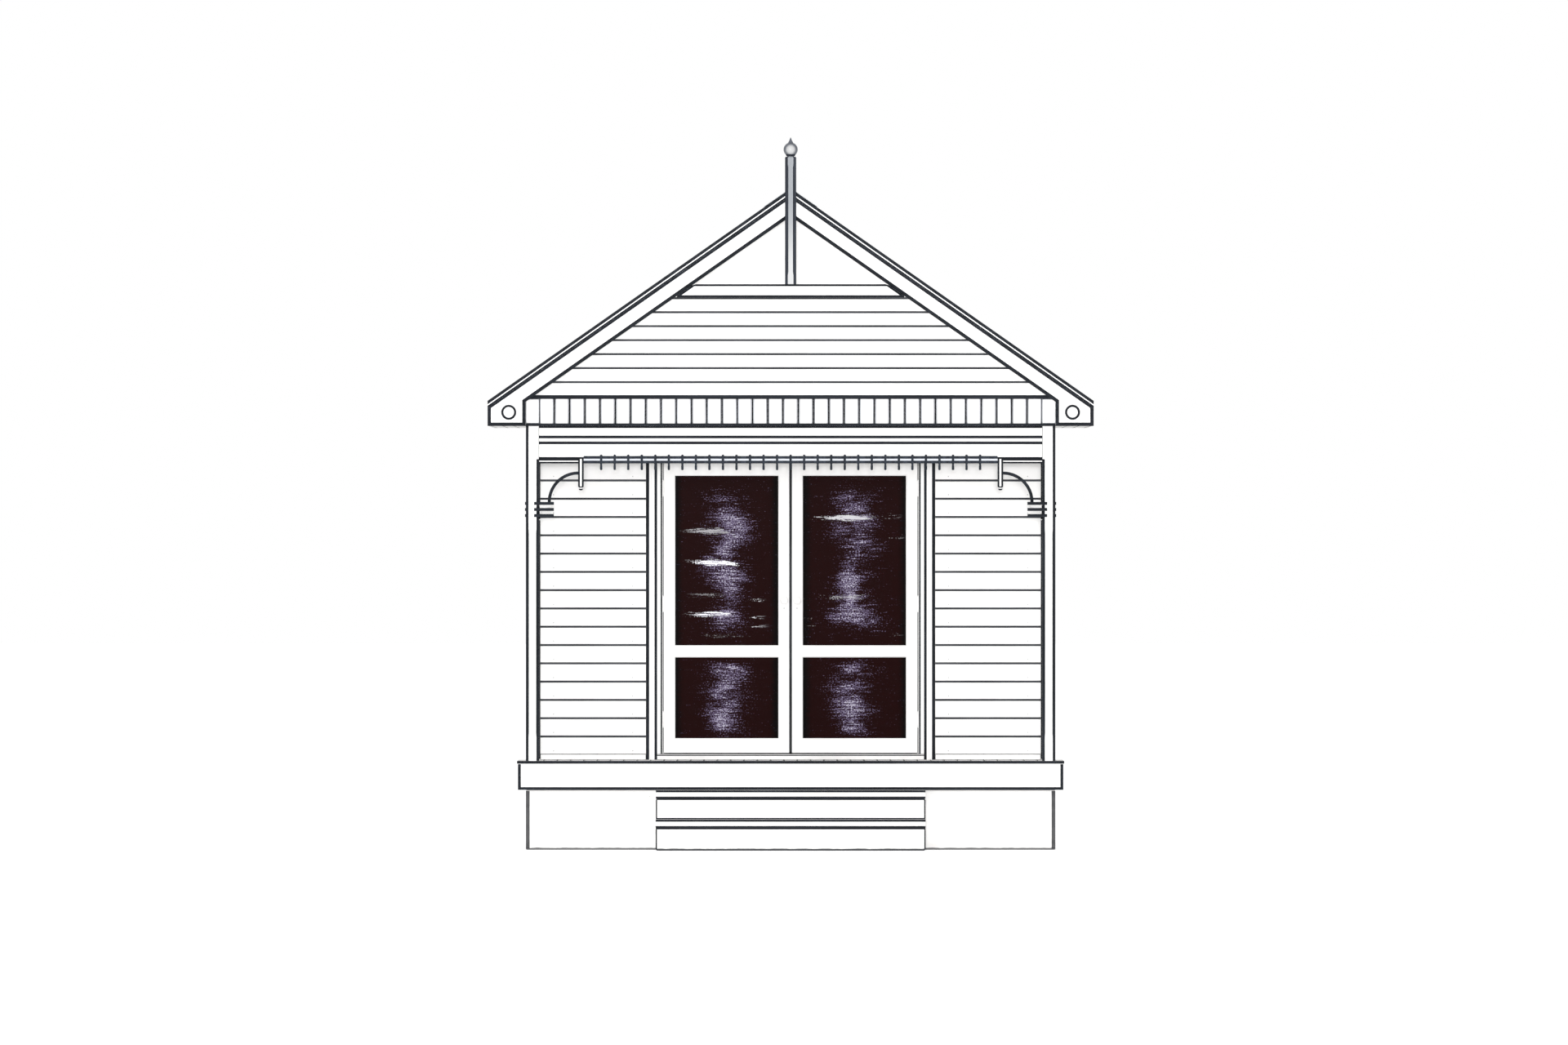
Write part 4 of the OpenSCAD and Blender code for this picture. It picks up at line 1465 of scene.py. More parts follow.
@dataclass
class Doorway:
    """The moulded doorway with its two glazed leaves, and their hinges and knobs."""

    plan: Plan
    architrave_w: float = 0.075
    architrave_t: float = 0.028
    inner_band: float = 0.016
    outer_chamfer: float = 0.022
    ovolo: float = 0.010
    arris: float = 0.0034
    meeting_arris: float = 0.0060
    shadow_line_in: float = 0.0095
    shadow_line_w: float = 0.011
    shadow_line_t: float = 0.0012
    sill_slope: float = 0.045
    sill_nose: float = 0.006
    sill_fall: float = 0.007
    sill_front: float = 0.013
    sill_bevel: float = 0.0015
    fillet_in: float = 0.026
    quirk_r: float = 0.007
    plate_w: float = 0.036
    plate_t: float = 0.005
    plate_bevel: float = 0.0016
    screw_r: float = 0.0032
    screw_in: float = 0.012
    keyhole_drop: float = 0.055
    pin_back: float = 0.0065
    pin_out: float = 0.0025
    hinge_gap: float = 0.2

    def surround(self) -> None:
        """The frame, the weathered threshold and a mitred, moulded architrave."""
        planed("door_frame", WHITE_UP, self.arris)
        low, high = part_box("door_threshold")
        outline = [(low.y, low.z), (high.y, low.z), (high.y, high.z),
                   (low.y + self.sill_slope, high.z),
                   (low.y + self.sill_nose, high.z - self.sill_fall),
                   (low.y, high.z - self.sill_front)]
        sill = Workpiece().prism(outline, RIGHT * low.x, RIGHT * (high.x - low.x), [4], BACK)
        sill.bevelled(self.sill_bevel, angle=SQUARE)
        sill.piece("threshold_weathered", TREAD, "door_threshold")
        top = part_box("door_frame")[1]
        w, t, r = self.architrave_w, self.architrave_t, self.quirk_r
        band, chamfer = self.inner_band, self.outer_chamfer
        outline = ([(0, 0), (0, t * 0.55), (band, t * 0.55), (band + 0.001, t * 0.70),
                    (w - self.fillet_in, t * 0.82)]
                   + arc((w - chamfer - r, t - r), r, 160, 90, 3)
                   + [(w - chamfer, t), (w, t - chamfer), (w, 0)])
        path = self.round_opening(top.x, self.plan.y_wall, self.plan.deck_z, top.z)
        Workpiece().sweep(path, -BACK, [(-u, v) for u, v in outline], [1, 2, 9]).piece(
            "architrave_moulded", WHITE_UP, "architrave", smooth=25)

    @staticmethod
    def round_opening(half: float, y: float, foot: float, top: float) -> list[Vector]:
        """The path up, over and down again round an opening in a plane of the front."""
        return [Vector((x, y, z)) for x, z in ((-half, foot), (-half, top), (half, top),
                                               (half, foot))]

    def door_shadow_line(self) -> None:
        """A thin near-black strip on the frame, round the opening and clear of the knuckles: a
        painted shadow line at the leaves' joint.
        """
        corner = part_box("door_right")[1]
        path = self.round_opening(corner.x + self.shadow_line_in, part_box("door_frame")[0].y,
                                  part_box("door_threshold")[1].z, corner.z + self.shadow_line_in)
        w, t = self.shadow_line_w, self.shadow_line_t
        outline = [(0, 0), (0, t), (-w, t), (-w, 0)]
        Workpiece().sweep(path, -BACK, outline, range(4)).piece("doorway_shadow_line", WHITE_UP)

    def leaf(self, side: str) -> None:
        """One leaf: an ovolo round each pane on both faces, and arrises taken off.

        Args:
            side: The leaf's name, left or right.
        """
        node = f"door_{side}"
        low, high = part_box(node)
        work = Workpiece.of_node(node)
        pane_x = levels(f"glass_{side}", 0)
        pane_z = levels(f"glass_{side}", 2)

        def on_pane(vert: bmesh.types.BMVert) -> bool:
            """Whether a corner is a corner of a pane's opening."""
            return (min(abs(vert.co.x - x) for x in pane_x) < NEAR
                    and min(abs(vert.co.z - z) for z in pane_z) < NEAR)

        work.bevelled(self.ovolo, 5, kind=FACE, profile=0.32, edges=[
            e for e in work.bm.edges if all(on_pane(v) for v in e.verts)
            and abs(e.verts[0].co.y - e.verts[1].co.y) < NEAR])

        def outer() -> Edges:
            """The leaf's own sharp corners, away from the panes."""
            return [e for e in work.bm.edges if e.calc_face_angle(0.0) > math.radians(SQUARE)
                    and all(min(v.co.x - low.x, high.x - v.co.x, v.co.z - low.z,
                                high.z - v.co.z) < NEAR for v in e.verts)]

        x_meet = high.x if side == "left" else low.x
        work.bevelled(self.meeting_arris, edges=[
            e for e in outer() if all(abs(v.co.x - x_meet) < NEAR for v in e.verts)])
        work.bevelled(self.arris, edges=outer())
        work.piece(f"{node}_moulded", LEAF, node, body=f"{side}_door", smooth=30)
        dress(GLASS, f"glass_{side}")

    def knob(self, side: str) -> None:
        """Plates with a keyhole and screws, and turned knobs, on both faces of a leaf.

        Args:
            side: The leaf's name, left or right.
        """
        node = f"handles_{side}"
        low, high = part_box(node)
        leaf_lo, leaf_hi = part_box(f"door_{side}")
        x, z = (low.x + high.x) / 2, (low.z + high.z) / 2
        half_w, half_h = self.plate_w / 2, (high.z - low.z) / 2
        plate_t, r = self.plate_t, (high.x - low.x) / 2
        reach = leaf_lo.y - low.y - plate_t
        turning = [(0.0165, 0), (0.0165, 0.003), (0.0125, 0.006), (0.0088, 0.010),
                   (0.0088, reach - 0.025), (r * 0.55, reach - 0.0215), (r * 0.85, reach - 0.0165),
                   (r, reach - 0.012), (r, reach - 0.008), (r * 0.95, reach - 0.004),
                   (r * 0.72, reach - 0.0008), (r * 0.3, reach)]
        screw = [(self.screw_r, 0), (self.screw_r, 0.0003), (self.screw_r * 0.5, 0.0012)]
        keyhole = [(0.0075, 0), (0.0075, 0.0012), (0.006, 0.002), (0.0055, 0.0008),
                   (0.0042, 0.0006), (0.0012, 0.0006)]
        work = Workpiece()
        for facing, y_face in ((-1, leaf_lo.y), (1, leaf_hi.y)):
            away = BACK * facing
            centre = Vector((x, y_face + facing * plate_t, z))
            y0, y1 = sorted((y_face, centre.y))
            plate = Workpiece().block((x - half_w, y0, z - half_h), (x + half_w, y1, z + half_h))
            work.add(plate.bevelled(self.plate_bevel, 2, kind=FACE))
            work.turned(turning, centre, away, 28, [0, 4])
            for place in (half_h - self.screw_in, self.screw_in - half_h):
                work.turned(screw, centre + UP * place, away, 10, [0])
            work.turned(keyhole, centre - UP * self.keyhole_drop, away, 14, [2, 3, 4])
        work.piece(f"door_knobs_{side}", IRON, node, body=f"{side}_door", smooth=40)

    def hinges(self) -> None:
        """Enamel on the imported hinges, with a turned tip at each end of every pin."""
        dress(IRON, "frame_hinges", "leaf_hinges_left", "leaf_hinges_right")
        heights = levels("frame_hinges", 2)
        gaps = [(a, b) for a, b in zip(heights, heights[1:]) if b - a > self.hinge_gap]
        tips = [heights[0], *(z for gap in gaps for z in gap), heights[-1]]
        profile = [(0.0048, -0.0005), (0.0048, 0.0012), (0.0030, 0.0024), (0.0046, 0.0042),
                   (0.0046, 0.0060), (0.0018, 0.0078)]
        work = Workpiece()
        x_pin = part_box("door_right")[1].x + self.pin_out
        y_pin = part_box("frame_hinges")[0].y + self.pin_back
        for number, z in enumerate(tips):
            work.turned(profile, Vector((x_pin, y_pin, z)), UP if number % 2 else -UP, 12)
        work.both_sides().piece("hinge_tips", IRON, smooth=40)

    def make(self) -> None:
        """Builds the doorway."""
        self.surround()
        self.door_shadow_line()
        for side in ("left", "right"):
            self.leaf(side)
            self.knob(side)
        self.hinges()


# ---- verandah ----


@dataclass
class Verandah:
    """Posts, beams, moulding, dowel valances, brackets and the boarded ceiling."""

    plan: Plan
    rows: RowTree
    chamfer: float = 0.0205
    stop: float = 0.030
    arris: float = 0.0185
    moulding_line: float = 0.019
    moulding_spread: float = 0.006
    beam_arris: float = 0.0135
    rail_h: float = 0.030
    rail_out: float = 0.024
    rail_seat: float = 0.008
    rail_lip: float = 0.020
    rail_roll: float = 0.0165
    rail_quirk: float = 0.005
    rail_gap: float = 0.0004
    dowel_r: float = 0.008
    dowel_hang: float = 0.046
    dowel_up: float = 0.030
    dowel_pitch: float = 0.092
    drop_w: float = 0.038
    drop_len: float = 0.186
    bracket_reach: float = 0.265
    arc_r: float = 0.196
    arc_t: float = 0.021
    arc_drop: float = 0.096
    corbel_reach: float = 0.100
    corbel_h: float = 0.124
    collar_h: float = 0.020
    ceiling_count: int = 36
    ceiling_joint: float = 0.004
    stop_up: float = 0.16
    stop_down: float = 0.06
    fine: float = 0.003
    seam: float = 0.002
    drop_bevel: float = 0.0125
    strut_bevel: float = 0.0115
    arc_bevel: float = 0.0035
    arc_inset: float = 0.012
    arc_steps: int = 24
    corbel_share: float = 0.65
    collars: int = 3
    collar_step: float = 0.04
    collar_proud: float = 0.006
    collar_lap: float = 0.034

    def posts(self) -> None:
        """Square posts with stopped chamfers on their corners."""
        plan, arris, chamfer = self.plan, self.arris, self.chamfer
        corbel_low = plan.beam_z - self.arc_drop - self.arc_r - self.corbel_h
        for side in ("left", "right"):
            low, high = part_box(f"post_{side}")
            start, end = low.z + self.stop_up, corbel_low - self.stop_down
            stations = [(low.z, arris, arris), (start, arris, arris),
                        (start + self.stop, chamfer, chamfer), (end - self.stop, chamfer, chamfer),
                        (end, arris, arris), (plan.beam_z - self.seam, arris, arris),
                        (plan.beam_z, arris, self.fine), (high.z, arris, self.fine)]
            rings = []
            for z, outer, inner in stations:
                cuts = (outer, inner) if side == "left" else (inner, outer)
                rings.append([Vector((x, y, z)) for x, y in octagon(low, high, *cuts)])
            Workpiece().loft(rings, CUTS).piece(f"post_{side}_chamfered", WHITE_UP,
                                                f"post_{side}")

    def beams(self) -> None:
        """Planed beams, and a moulding along the front and both sides."""
        for node, finish, axis in (("front_beam", WHITE, 0), ("side_beams", WHITE_DEEP, 1)):
            planed(node, finish, self.beam_arris, pick=lambda work: work.along(axis))
        plan, line, spread = self.plan, self.moulding_line, self.moulding_spread
        low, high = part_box("front_moulding")
        proud = plan.y_beam - low.y
        deep = high.z - low.z + 2 * spread
        outline = ([(0, 0), (proud * 0.62, 0), (proud * 0.62, line)]
                   + arc((proud * 0.62, line + 0.008), 0.006, -90, 0, 3)
                   + arc((proud, deep - line - 0.001), proud * 0.25, 200, 110, 4)
                   + [(proud, deep - line), (proud, deep), (0, deep)])
        marks = [1, len(outline) - 3]
        Workpiece().prism(outline, Vector((low.x, plan.y_beam, low.z - spread)),
                          RIGHT * (high.x - low.x), marks).piece(
            "front_moulding_run", WHITE, "front_moulding", smooth=30)
        low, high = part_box("side_mouldings")
        side = Workpiece().prism(outline, Vector((plan.beam_x, low.y, low.z - spread)),
                                 BACK * (high.y - low.y), marks)
        side.both_sides().piece("side_moulding_runs", WHITE_DEEP, "side_mouldings", smooth=30)

    def valance(self, start: Vector, run: Vector) -> Workpiece:
        """A rounded rail with turned dowels through it.

        Args:
            start: The rail's end, at the beam's face and underside.
            run: Along the rail; the front is to the right of it, seen from above.

        Returns:
            The valance.
        """
        length, along = run.length, run.normalized()
        out = along.cross(UP)
        face, h = self.rail_out, self.rail_h
        seat = (self.plan.post_w - self.drop_w) / 2 + self.rail_seat
        back = self.plan.y_beam - self.plan.y_post - seat
        lip, roll, quirk, gap = self.rail_lip, self.rail_roll, self.rail_quirk, self.rail_gap
        outline = [(back, -h), (face - 0.004, -h), (face, -h + 0.004), (face, roll - h),
                   (face - quirk, roll - h + 0.002), (face - quirk, lip - roll - 0.002),
                   (face, lip - roll), (face, lip - quirk), (face - quirk, lip), (gap, lip),
                   (gap, -gap), (back, -gap)]
        work = Workpiece().prism(outline, start, run, [0, 1, 2, 3, 5, 6, 7, 8])
        count = math.floor((length - 2 * self.dowel_pitch) / self.dowel_pitch + 1e-6) + 1
        first = (length - (count - 1) * self.dowel_pitch) / 2
        d, low, high = self.dowel_r, -h - self.dowel_hang, self.dowel_up
        turning = [(d * 0.35, low), (d * 0.8, low + 0.002), (d, low + 0.006), (d, low + 0.030),
                   (d * 0.78, low + 0.036), (d, low + 0.042), (d, high - 0.006),
                   (d * 0.8, high - 0.002), (d * 0.35, high)]
        centre = start + along * first + out * (face - d * 0.6)
        dowel = Workpiece().turned(turning, centre, UP, 14, range(len(turning) - 1))
        return work.add(self.rows.of(dowel, PALE_BLUE, count, along * self.dowel_pitch, 61))

    def valances(self) -> None:
        """The front valance, and one along each side beam."""
        plan = self.plan
        low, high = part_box("front_valance")
        front = Vector((low.x, plan.y_beam, plan.beam_z))
        self.valance(front, RIGHT * (high.x - low.x)).piece(
            "front_valance_turned", PALE_BLUE, "front_valance", smooth=40)
        low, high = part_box("side_valances")
        start = Vector((plan.beam_x, low.y, plan.beam_z))
        self.valance(start, BACK * (high.y - low.y)).both_sides().piece(
            "side_valances_turned", PALE_BLUE, "side_valances", smooth=40)

    def bracket(self) -> Workpiece:
        """A bracket with x out from the post's face, y across and z = 0 under the beam.

        Returns:
            The drop with its knob, the arc, the corbel and its collars.
        """
        w, reach, low = self.drop_w, self.bracket_reach, -self.drop_len
        foot = -self.arc_drop - self.arc_r
        half = w / 2
        work = Workpiece().block((reach, -half, low), (reach + w, half, 0))
        work.bevelled(self.drop_bevel, edges=work.along(2))
        strut = Workpiece().block((0, -half, -self.rail_h), (reach, half, 0))
        work.add(strut.bevelled(self.strut_bevel, edges=strut.along(0)))
        knob = [(half * 0.22, -0.027), (half * 0.66, -0.023), (half * 0.78, -0.016),
                (half * 0.62, -0.009), (half * 0.98, -0.004), (half * 0.9, 0)]
        work.turned(knob, Vector((reach + half, 0, low)), UP, 20, [0, 1, 3, 4])
        thin, thick = self.arc_t / 2, (w - self.arc_inset) / 2
        section = octagon((-thin, -thick), (thin, thick), self.arc_bevel, self.arc_bevel)
        rings = []
        for x, z in arc((0, 0), 1, 90, 180, self.arc_steps):
            outward = Vector((x, 0, z))
            centre = Vector((reach, 0, foot)) + outward * self.arc_r
            rings.append([centre + outward * u + BACK * v for u, v in section])
        work.loft(rings, range(len(section)))
        deep = self.plan.post_w * self.corbel_share / 2
        long, h = self.corbel_reach, self.corbel_h
        curve = arc((long * 0.84, -h * 1.02), h * 0.72, 92, 168, 7)
        outline = [(0, 0), (long * 0.84, 0), *curve, (long * 0.12, -h), (0, -h)]
        corbel = Workpiece().prism(outline, Vector((0, -deep, foot)), BACK * (2 * deep))
        work.add(corbel.bevelled(self.fine, angle=SQUARE, kind=FACE))
        y = self.plan.post_w / 2
        for i, top in enumerate(self.collar_tops(foot)):
            out = long * (1 - i * self.collar_step)
            work.line((0, -y, top - self.collar_h), (out, y, top))
        return work

    def collar_tops(self, foot: float) -> list[float]:
        """The upper faces of the corbel's collars, from its top down."""
        return [foot - i * self.corbel_h / self.collars for i in range(self.collars)]

    def collar_tabs(self, low: Sequence[float], high: Sequence[float]) -> Workpiece:
        """Thin returns of the collars round a post's face.

        Args:
            low: The lowest X and Y of the stretch that they cross.
            high: The highest X and Y.

        Returns:
            The tabs.
        """
        work = Workpiece()
        for top in self.collar_tops(self.plan.beam_z - self.arc_drop - self.arc_r):
            work.line((*low, top - self.collar_h), (*high, top))
        return work

    def brackets(self) -> None:
        """Brackets on the posts' inner faces, and on their rear faces for the sides."""
        plan = self.plan
        x, y, width = plan.post_x, plan.y_post, plan.post_w
        proud, lap, reach = self.collar_proud, self.collar_lap, self.corbel_reach
        place = Matrix.Translation((x, y + width / 2, plan.beam_z))
        front = self.bracket().moved(place @ MIRROR)
        front.add(self.collar_tabs((x - reach, y - proud), (x + lap, y)))
        front.both_sides().piece("front_brackets_carved", WHITE, "front_brackets", smooth=30)
        place = Matrix.Translation((x + width / 2, y + width, plan.beam_z))
        side = self.bracket().moved(place @ Matrix.Rotation(math.radians(90), 4, UP))
        side.add(self.collar_tabs((plan.half_w, y + width - lap),
                                  (plan.half_w + proud, y + width + reach)))
        side.both_sides().piece("side_brackets_carved", WHITE_DEEP, "side_brackets", smooth=30)

    def ceiling(self) -> None:
        """Jointed boards from front to back over the verandah."""
        low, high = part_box("verandah_ceiling")
        self.rows.jointed(low, high, self.ceiling_count, self.ceiling_joint, 71).piece(
            "verandah_ceiling_boards", WHITE_DEEP, "verandah_ceiling")

    def make(self) -> None:
        """Builds the verandah."""
        self.posts()
        self.beams()
        self.valances()
        self.brackets()
        self.ceiling()


# ---- gables ----


@dataclass
class Gables:
    """Barge boards with folded cappings, verge linings, roundels, collar tie and finial."""

    plan: Plan
    barge_bevel: float = 0.0235
    tie_bevel: float = 0.014
    lining_bevel: float = 0.002
    apex_gap: float = 0.0005
    cap_t: float = 0.006
    cap_face: float = 0.047
    cap_lap: float = 0.130
    cap_roll: float = 0.0235
    cap_drip: float = 0.0135
    drip_shadow_h: float = 0.018
    shadow_line_t: float = 0.005
    sheet_t: float = 0.002
    roundel_r: float = 0.051
    roundel_t: float = 0.012
    shaft_w: float = 0.076
    finial_chamfer: float = 0.0225
    finial_fine: float = 0.019
    shaft_tuck: float = 0.006
    ball_r: float = 0.0485
    spike: float = 0.034

    def along_slope(self, outline: Outline, x0: float, x1: float,
                    marks: Iterable[int] = ()) -> Workpiece:
        """Runs a section of points (y, drop) down the right-hand slope from x0 to x1."""
        rings = [[Vector((x, y, self.plan.roof_z(x, drop))) for y, drop in outline]
                 for x in (x0, x1)]
        return Workpiece().loft(rings, marks)

    def cap(self, x0: float, y_face: float, inward: int) -> Workpiece:
        """A folded capping: rolled upper edge, face, drip and a lap on the sheets.

        Args:
            x0: Its upper end, as a distance from the ridge.
            y_face: Where its face stands.
            inward: 1 where the roof lies towards +Y of it.

        Returns:
            The capping of the right-hand slope.
        """
        roll, face, thin = self.cap_roll, self.cap_face, self.sheet_t
        drip, lap = face - self.cap_drip, self.cap_t + self.cap_lap
        section = [(0, 0.0015), (0, roll), (0.0015, roll + 0.0012), (0.0015, drip - 0.0012),
                   (0, drip), (0, face), (thin, face), (thin + 0.0015, drip),
                   (thin + 0.0015, thin), (lap - thin, thin), (lap - thin, self.cap_t),
                   (lap, self.cap_t), (lap, 0), (0.0015, 0)]
        outline = [(y_face + inward * y, drop) for y, drop in section]
        return self.along_slope(outline, x0, self.plan.eave_x, [0, 1, 4, 5, 11, 13])

    def caps(self) -> None:
        """Cappings over both verges."""
        low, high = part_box("barge_caps")
        front = self.cap(self.shaft_w / 2, low.y, 1)
        front.add(self.cap(self.apex_gap, high.y, -1)).both_sides()
        front.piece("barge_cappings", CAPPING, "barge_caps")

    def drip_shadows(self) -> None:
        """A near-black strip on the barge boards, under the cappings' drips: a painted shadow."""
        top = self.cap_face + 0.0003
        foot = top + self.drip_shadow_h
        work = Workpiece()
        for y_face, out, x0 in ((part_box("barges_front")[0].y, -self.shadow_line_t, self.shaft_w / 2),
                                (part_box("barges_back")[1].y, self.shadow_line_t, self.apex_gap)):
            outline = [(y_face, top), (y_face + out, top), (y_face + out, foot), (y_face, foot)]
            work.add(self.along_slope(outline, x0, self.plan.eave_x, range(4)))
        work.both_sides().piece("barge_drip_shadows", WHITE)

    def boards(self) -> None:
        """Barge boards and collar tie with their arrises taken off, and the verge linings."""
        for node, corner in (("barges_front", 0), ("barges_back", 1)):
            y_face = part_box(node)[corner].y
            planed(node, WHITE, self.barge_bevel, pick=lambda work: [
                e for e in work.bm.edges if all(abs(v.co.y - y_face) < NEAR for v in e.verts)
                and any(abs(v.co.x) > self.shaft_w for v in e.verts)])
        planed("collar_tie", WHITE, self.tie_bevel)
        planed("verge_soffits", WHITE, self.lining_bevel, "verge_linings_planed")

    def roundels(self) -> None:
        """Turned roundels on the four barge feet."""
        low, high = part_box("roundels")
        r, t = self.roundel_r, self.roundel_t
        profile = [(r, 0), (r, t * 0.45), (r - 0.004, t * 0.9), (r - 0.010, t),
                   (r - 0.015, t * 0.55), (r - 0.019, t * 0.35), (r - 0.026, t * 0.38),
                   (0.012, t * 0.72), (0.004, t * 0.85)]
        work = Workpiece()
        middle = Vector((high.x - r, 0, (low.z + high.z) / 2))
        for y, way in ((low.y + t, -BACK), (high.y - t, BACK)):
            work.turned(profile, middle + BACK * y, way, 36, [0, 1, 2, 3])
        work.both_sides().piece("roundels_turned", WHITE, "roundels", smooth=50)

    def finial(self) -> None:
        """A chamfered shaft on the collar tie, with a turned neck, ball and point."""
        low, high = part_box("finial")
        shaft_top = high.z - self.ball_r * 2 - self.spike
        half, y_mid = self.shaft_w / 2, (low.y + high.y) / 2
        c, fine, tuck = self.finial_chamfer, self.finial_fine, self.shaft_tuck
        stations = [(low.z, half, fine), (low.z + 0.06, half, fine), (low.z + 0.085, half, c),
                    (shaft_top - 0.075, half, c), (shaft_top - 0.05, half, fine),
                    (shaft_top - 0.006, half, fine), (shaft_top, half - tuck, fine)]
        rings = [[Vector((x, y_mid + y, z)) for x, y in octagon((-w, -w), (w, w), cut, cut)]
                 for z, w, cut in stations]
        Workpiece().loft(rings, CUTS).piece("finial_shaft", BLUE_GREY, "finial")
        neck = [(0.024, -0.004), (0.024, 0.003), (0.031, 0.006), (0.031, 0.010), (0.023, 0.013)]
        ball = arc((0, self.ball_r), self.ball_r, -52, 64, 12)
        crown = self.ball_r * 2
        point = [(0.0185, self.ball_r * 1.93), (0.011, crown + 0.010), (0.005, crown + 0.024),
                 (0.0015, crown + self.spike)]
        Workpiece().turned(neck + ball + point, Vector((0, y_mid, shaft_top)), UP, 28,
                           [1, 2, 3, 4, 5, 17]).piece("finial_turned", DEEP_BLUE, smooth=40)

    def make(self) -> None:
        """Builds the gables' trim."""
        self.boards()
        self.caps()
        self.drip_shadows()
        self.roundels()
        self.finial()


# ---- roof ----


@dataclass
class Roof:
    """Corrugated sheets with their screws, a rolled ridge capping, fascias and soffits."""

    plan: Plan
    rows: RowTree
    waves: CorrugationTree
    sheets: int = 6
    waves_per_sheet: int = 11
    amplitude: float = 0.0075
    sheet_t: float = 0.0009
    lap_lift: float = 0.0011
    plumb_depth: float = 0.011
    ridge_gap: float = 0.012
    eave_gap: float = 0.006
    purlins: int = 4
    first_purlin: float = 0.28
    purlin_pitch: float = 0.70
    ridge_w: float = 0.180
    ridge_t: float = 0.006
    roll_r: float = 0.025
    ridge_lip: float = 0.0025
    ridge_seat: float = -0.0003
    fascia_bevel: float = 0.003
    soffit_boards: int = 3
    soffit_joint: float = 0.003

    def frame_of_slope(self) -> Matrix:
        """The right-hand slope's own frame.

        Returns:
            Its matrix: x down the slope, y to the back and z off the roof.
        """
        drop = self.plan.sheet_drop + self.plumb_depth
        turn = Matrix.Rotation(self.plan.pitch, 4, BACK)
        return Matrix.Translation((0, 0, self.plan.roof_z(0, drop))) @ turn

    def slopes(self) -> None:
        """Lapped sheets on each slope, with screws on every second crest."""
        plan = self.plan
        length = plan.eave_x / math.cos(plan.pitch) - self.ridge_gap - self.eave_gap
        pitch = (plan.y_verge_back - plan.y_verge) / (self.sheets * self.waves_per_sheet + 0.5)
        cover = pitch * self.waves_per_sheet
        width = cover + pitch / 2
        columns = self.waves_per_sheet * 8 + 5
        blank = Workpiece().block((0, 0, 0), (0.01, 0.01, 0.01))
        sheet = self.waves.grow(blank, ZINC, {
            "Pitch": pitch, "Amplitude": self.amplitude, "Lap": self.lap_lift, "Width": width,
            "Length": length, "Columns": columns})
        bmesh.ops.solidify(sheet.bm, geom=list(sheet.bm.faces), thickness=self.sheet_t)
        bmesh.ops.recalc_face_normals(sheet.bm, faces=sheet.bm.faces)
        place = Vector((self.ridge_gap + length / 2, plan.y_verge + width / 2, 0))
        sheet.moved(Matrix.Translation(place))
        slope = self.rows.of(sheet, ZINC, self.sheets, BACK * cover, 83)
        crest = Vector((self.first_purlin, plan.y_verge + width / 2 - pitch * 5, self.amplitude))
        screw = Workpiece().turned([(0.0085, -0.001), (0.0085, 0.0008), (0.0065, 0.0016)],
                                   crest, UP, 12, [0])
        screw.turned([(0.0052, 0.001), (0.0052, 0.0048), (0.0040, 0.0056)], crest, UP, 6)
        line = self.rows.of(screw, ZINC, self.sheets * self.waves_per_sheet // 2 - 1,
                            BACK * pitch * 2)
        fixings = self.rows.of(line, ZINC, self.purlins, RIGHT * self.purlin_pitch)
        for work in (slope, fixings):
            work.moved(self.frame_of_slope())
        left = Workpiece().add(slope).moved(MIRROR)
        slope.piece("roof_sheets_right", ZINC, "roof_right", smooth=45)
        left.piece("roof_sheets_left", ZINC, "roof_left", smooth=45)
        fixings.both_sides().piece("roof_screws", ZINC)

    def ridge(self) -> None:
        """A capping with a roll along the ridge and turned-down edges."""
        low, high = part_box("ridge_cap")
        plan, w, t, r = self.plan, self.ridge_w, self.ridge_t, self.roll_r
        lip, seat = self.ridge_lip, self.ridge_seat
        edge = w - lip
        right = [(w, plan.roof_z(w, seat)), (w, plan.roof_z(w, seat - t)),
                 (edge, plan.roof_z(edge, seat - t)), (0.024, plan.roof_z(0.024, seat - t))]
        roll = arc((0, plan.roof_z(0, seat) + r / math.cos(plan.pitch)), r, -28, 208, 16)
        under = [(-edge, plan.roof_z(edge, seat)), (-edge, plan.roof_z(edge, seat - lip)),
                 (0, plan.roof_z(0, seat - lip * 0.2)), (edge, plan.roof_z(edge, seat - lip)),
                 (edge, plan.roof_z(edge, seat))]
        outline = right + roll + [(-x, z) for x, z in reversed(right)] + under
        Workpiece().prism(outline, BACK * low.y, BACK * (high.y - low.y), [0, 3, 20, 23]).piece(
            "ridge_capping", ZINC, "ridge_cap", smooth=30)

    def eaves(self) -> None:
        """Planed fascias, and soffits of jointed boards along the eaves."""
        planed("fascias", WHITE_DEEP, self.fascia_bevel)
        low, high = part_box("soffits")
        inner = self.plan.half_w
        boards = self.rows.jointed(Vector((inner, low.y, low.z)), high, self.soffit_boards,
                                   self.soffit_joint, 91)
        boards.block((self.plan.wall_x, self.plan.y_wall, low.z), (inner, high.y, high.z))
        boards.both_sides().piece("soffit_boards", WHITE_DEEP, "soffits")

    def make(self) -> None:
        """Builds the roof."""
        self.slopes()
        self.ridge()
        self.eaves()


# ---- room ----


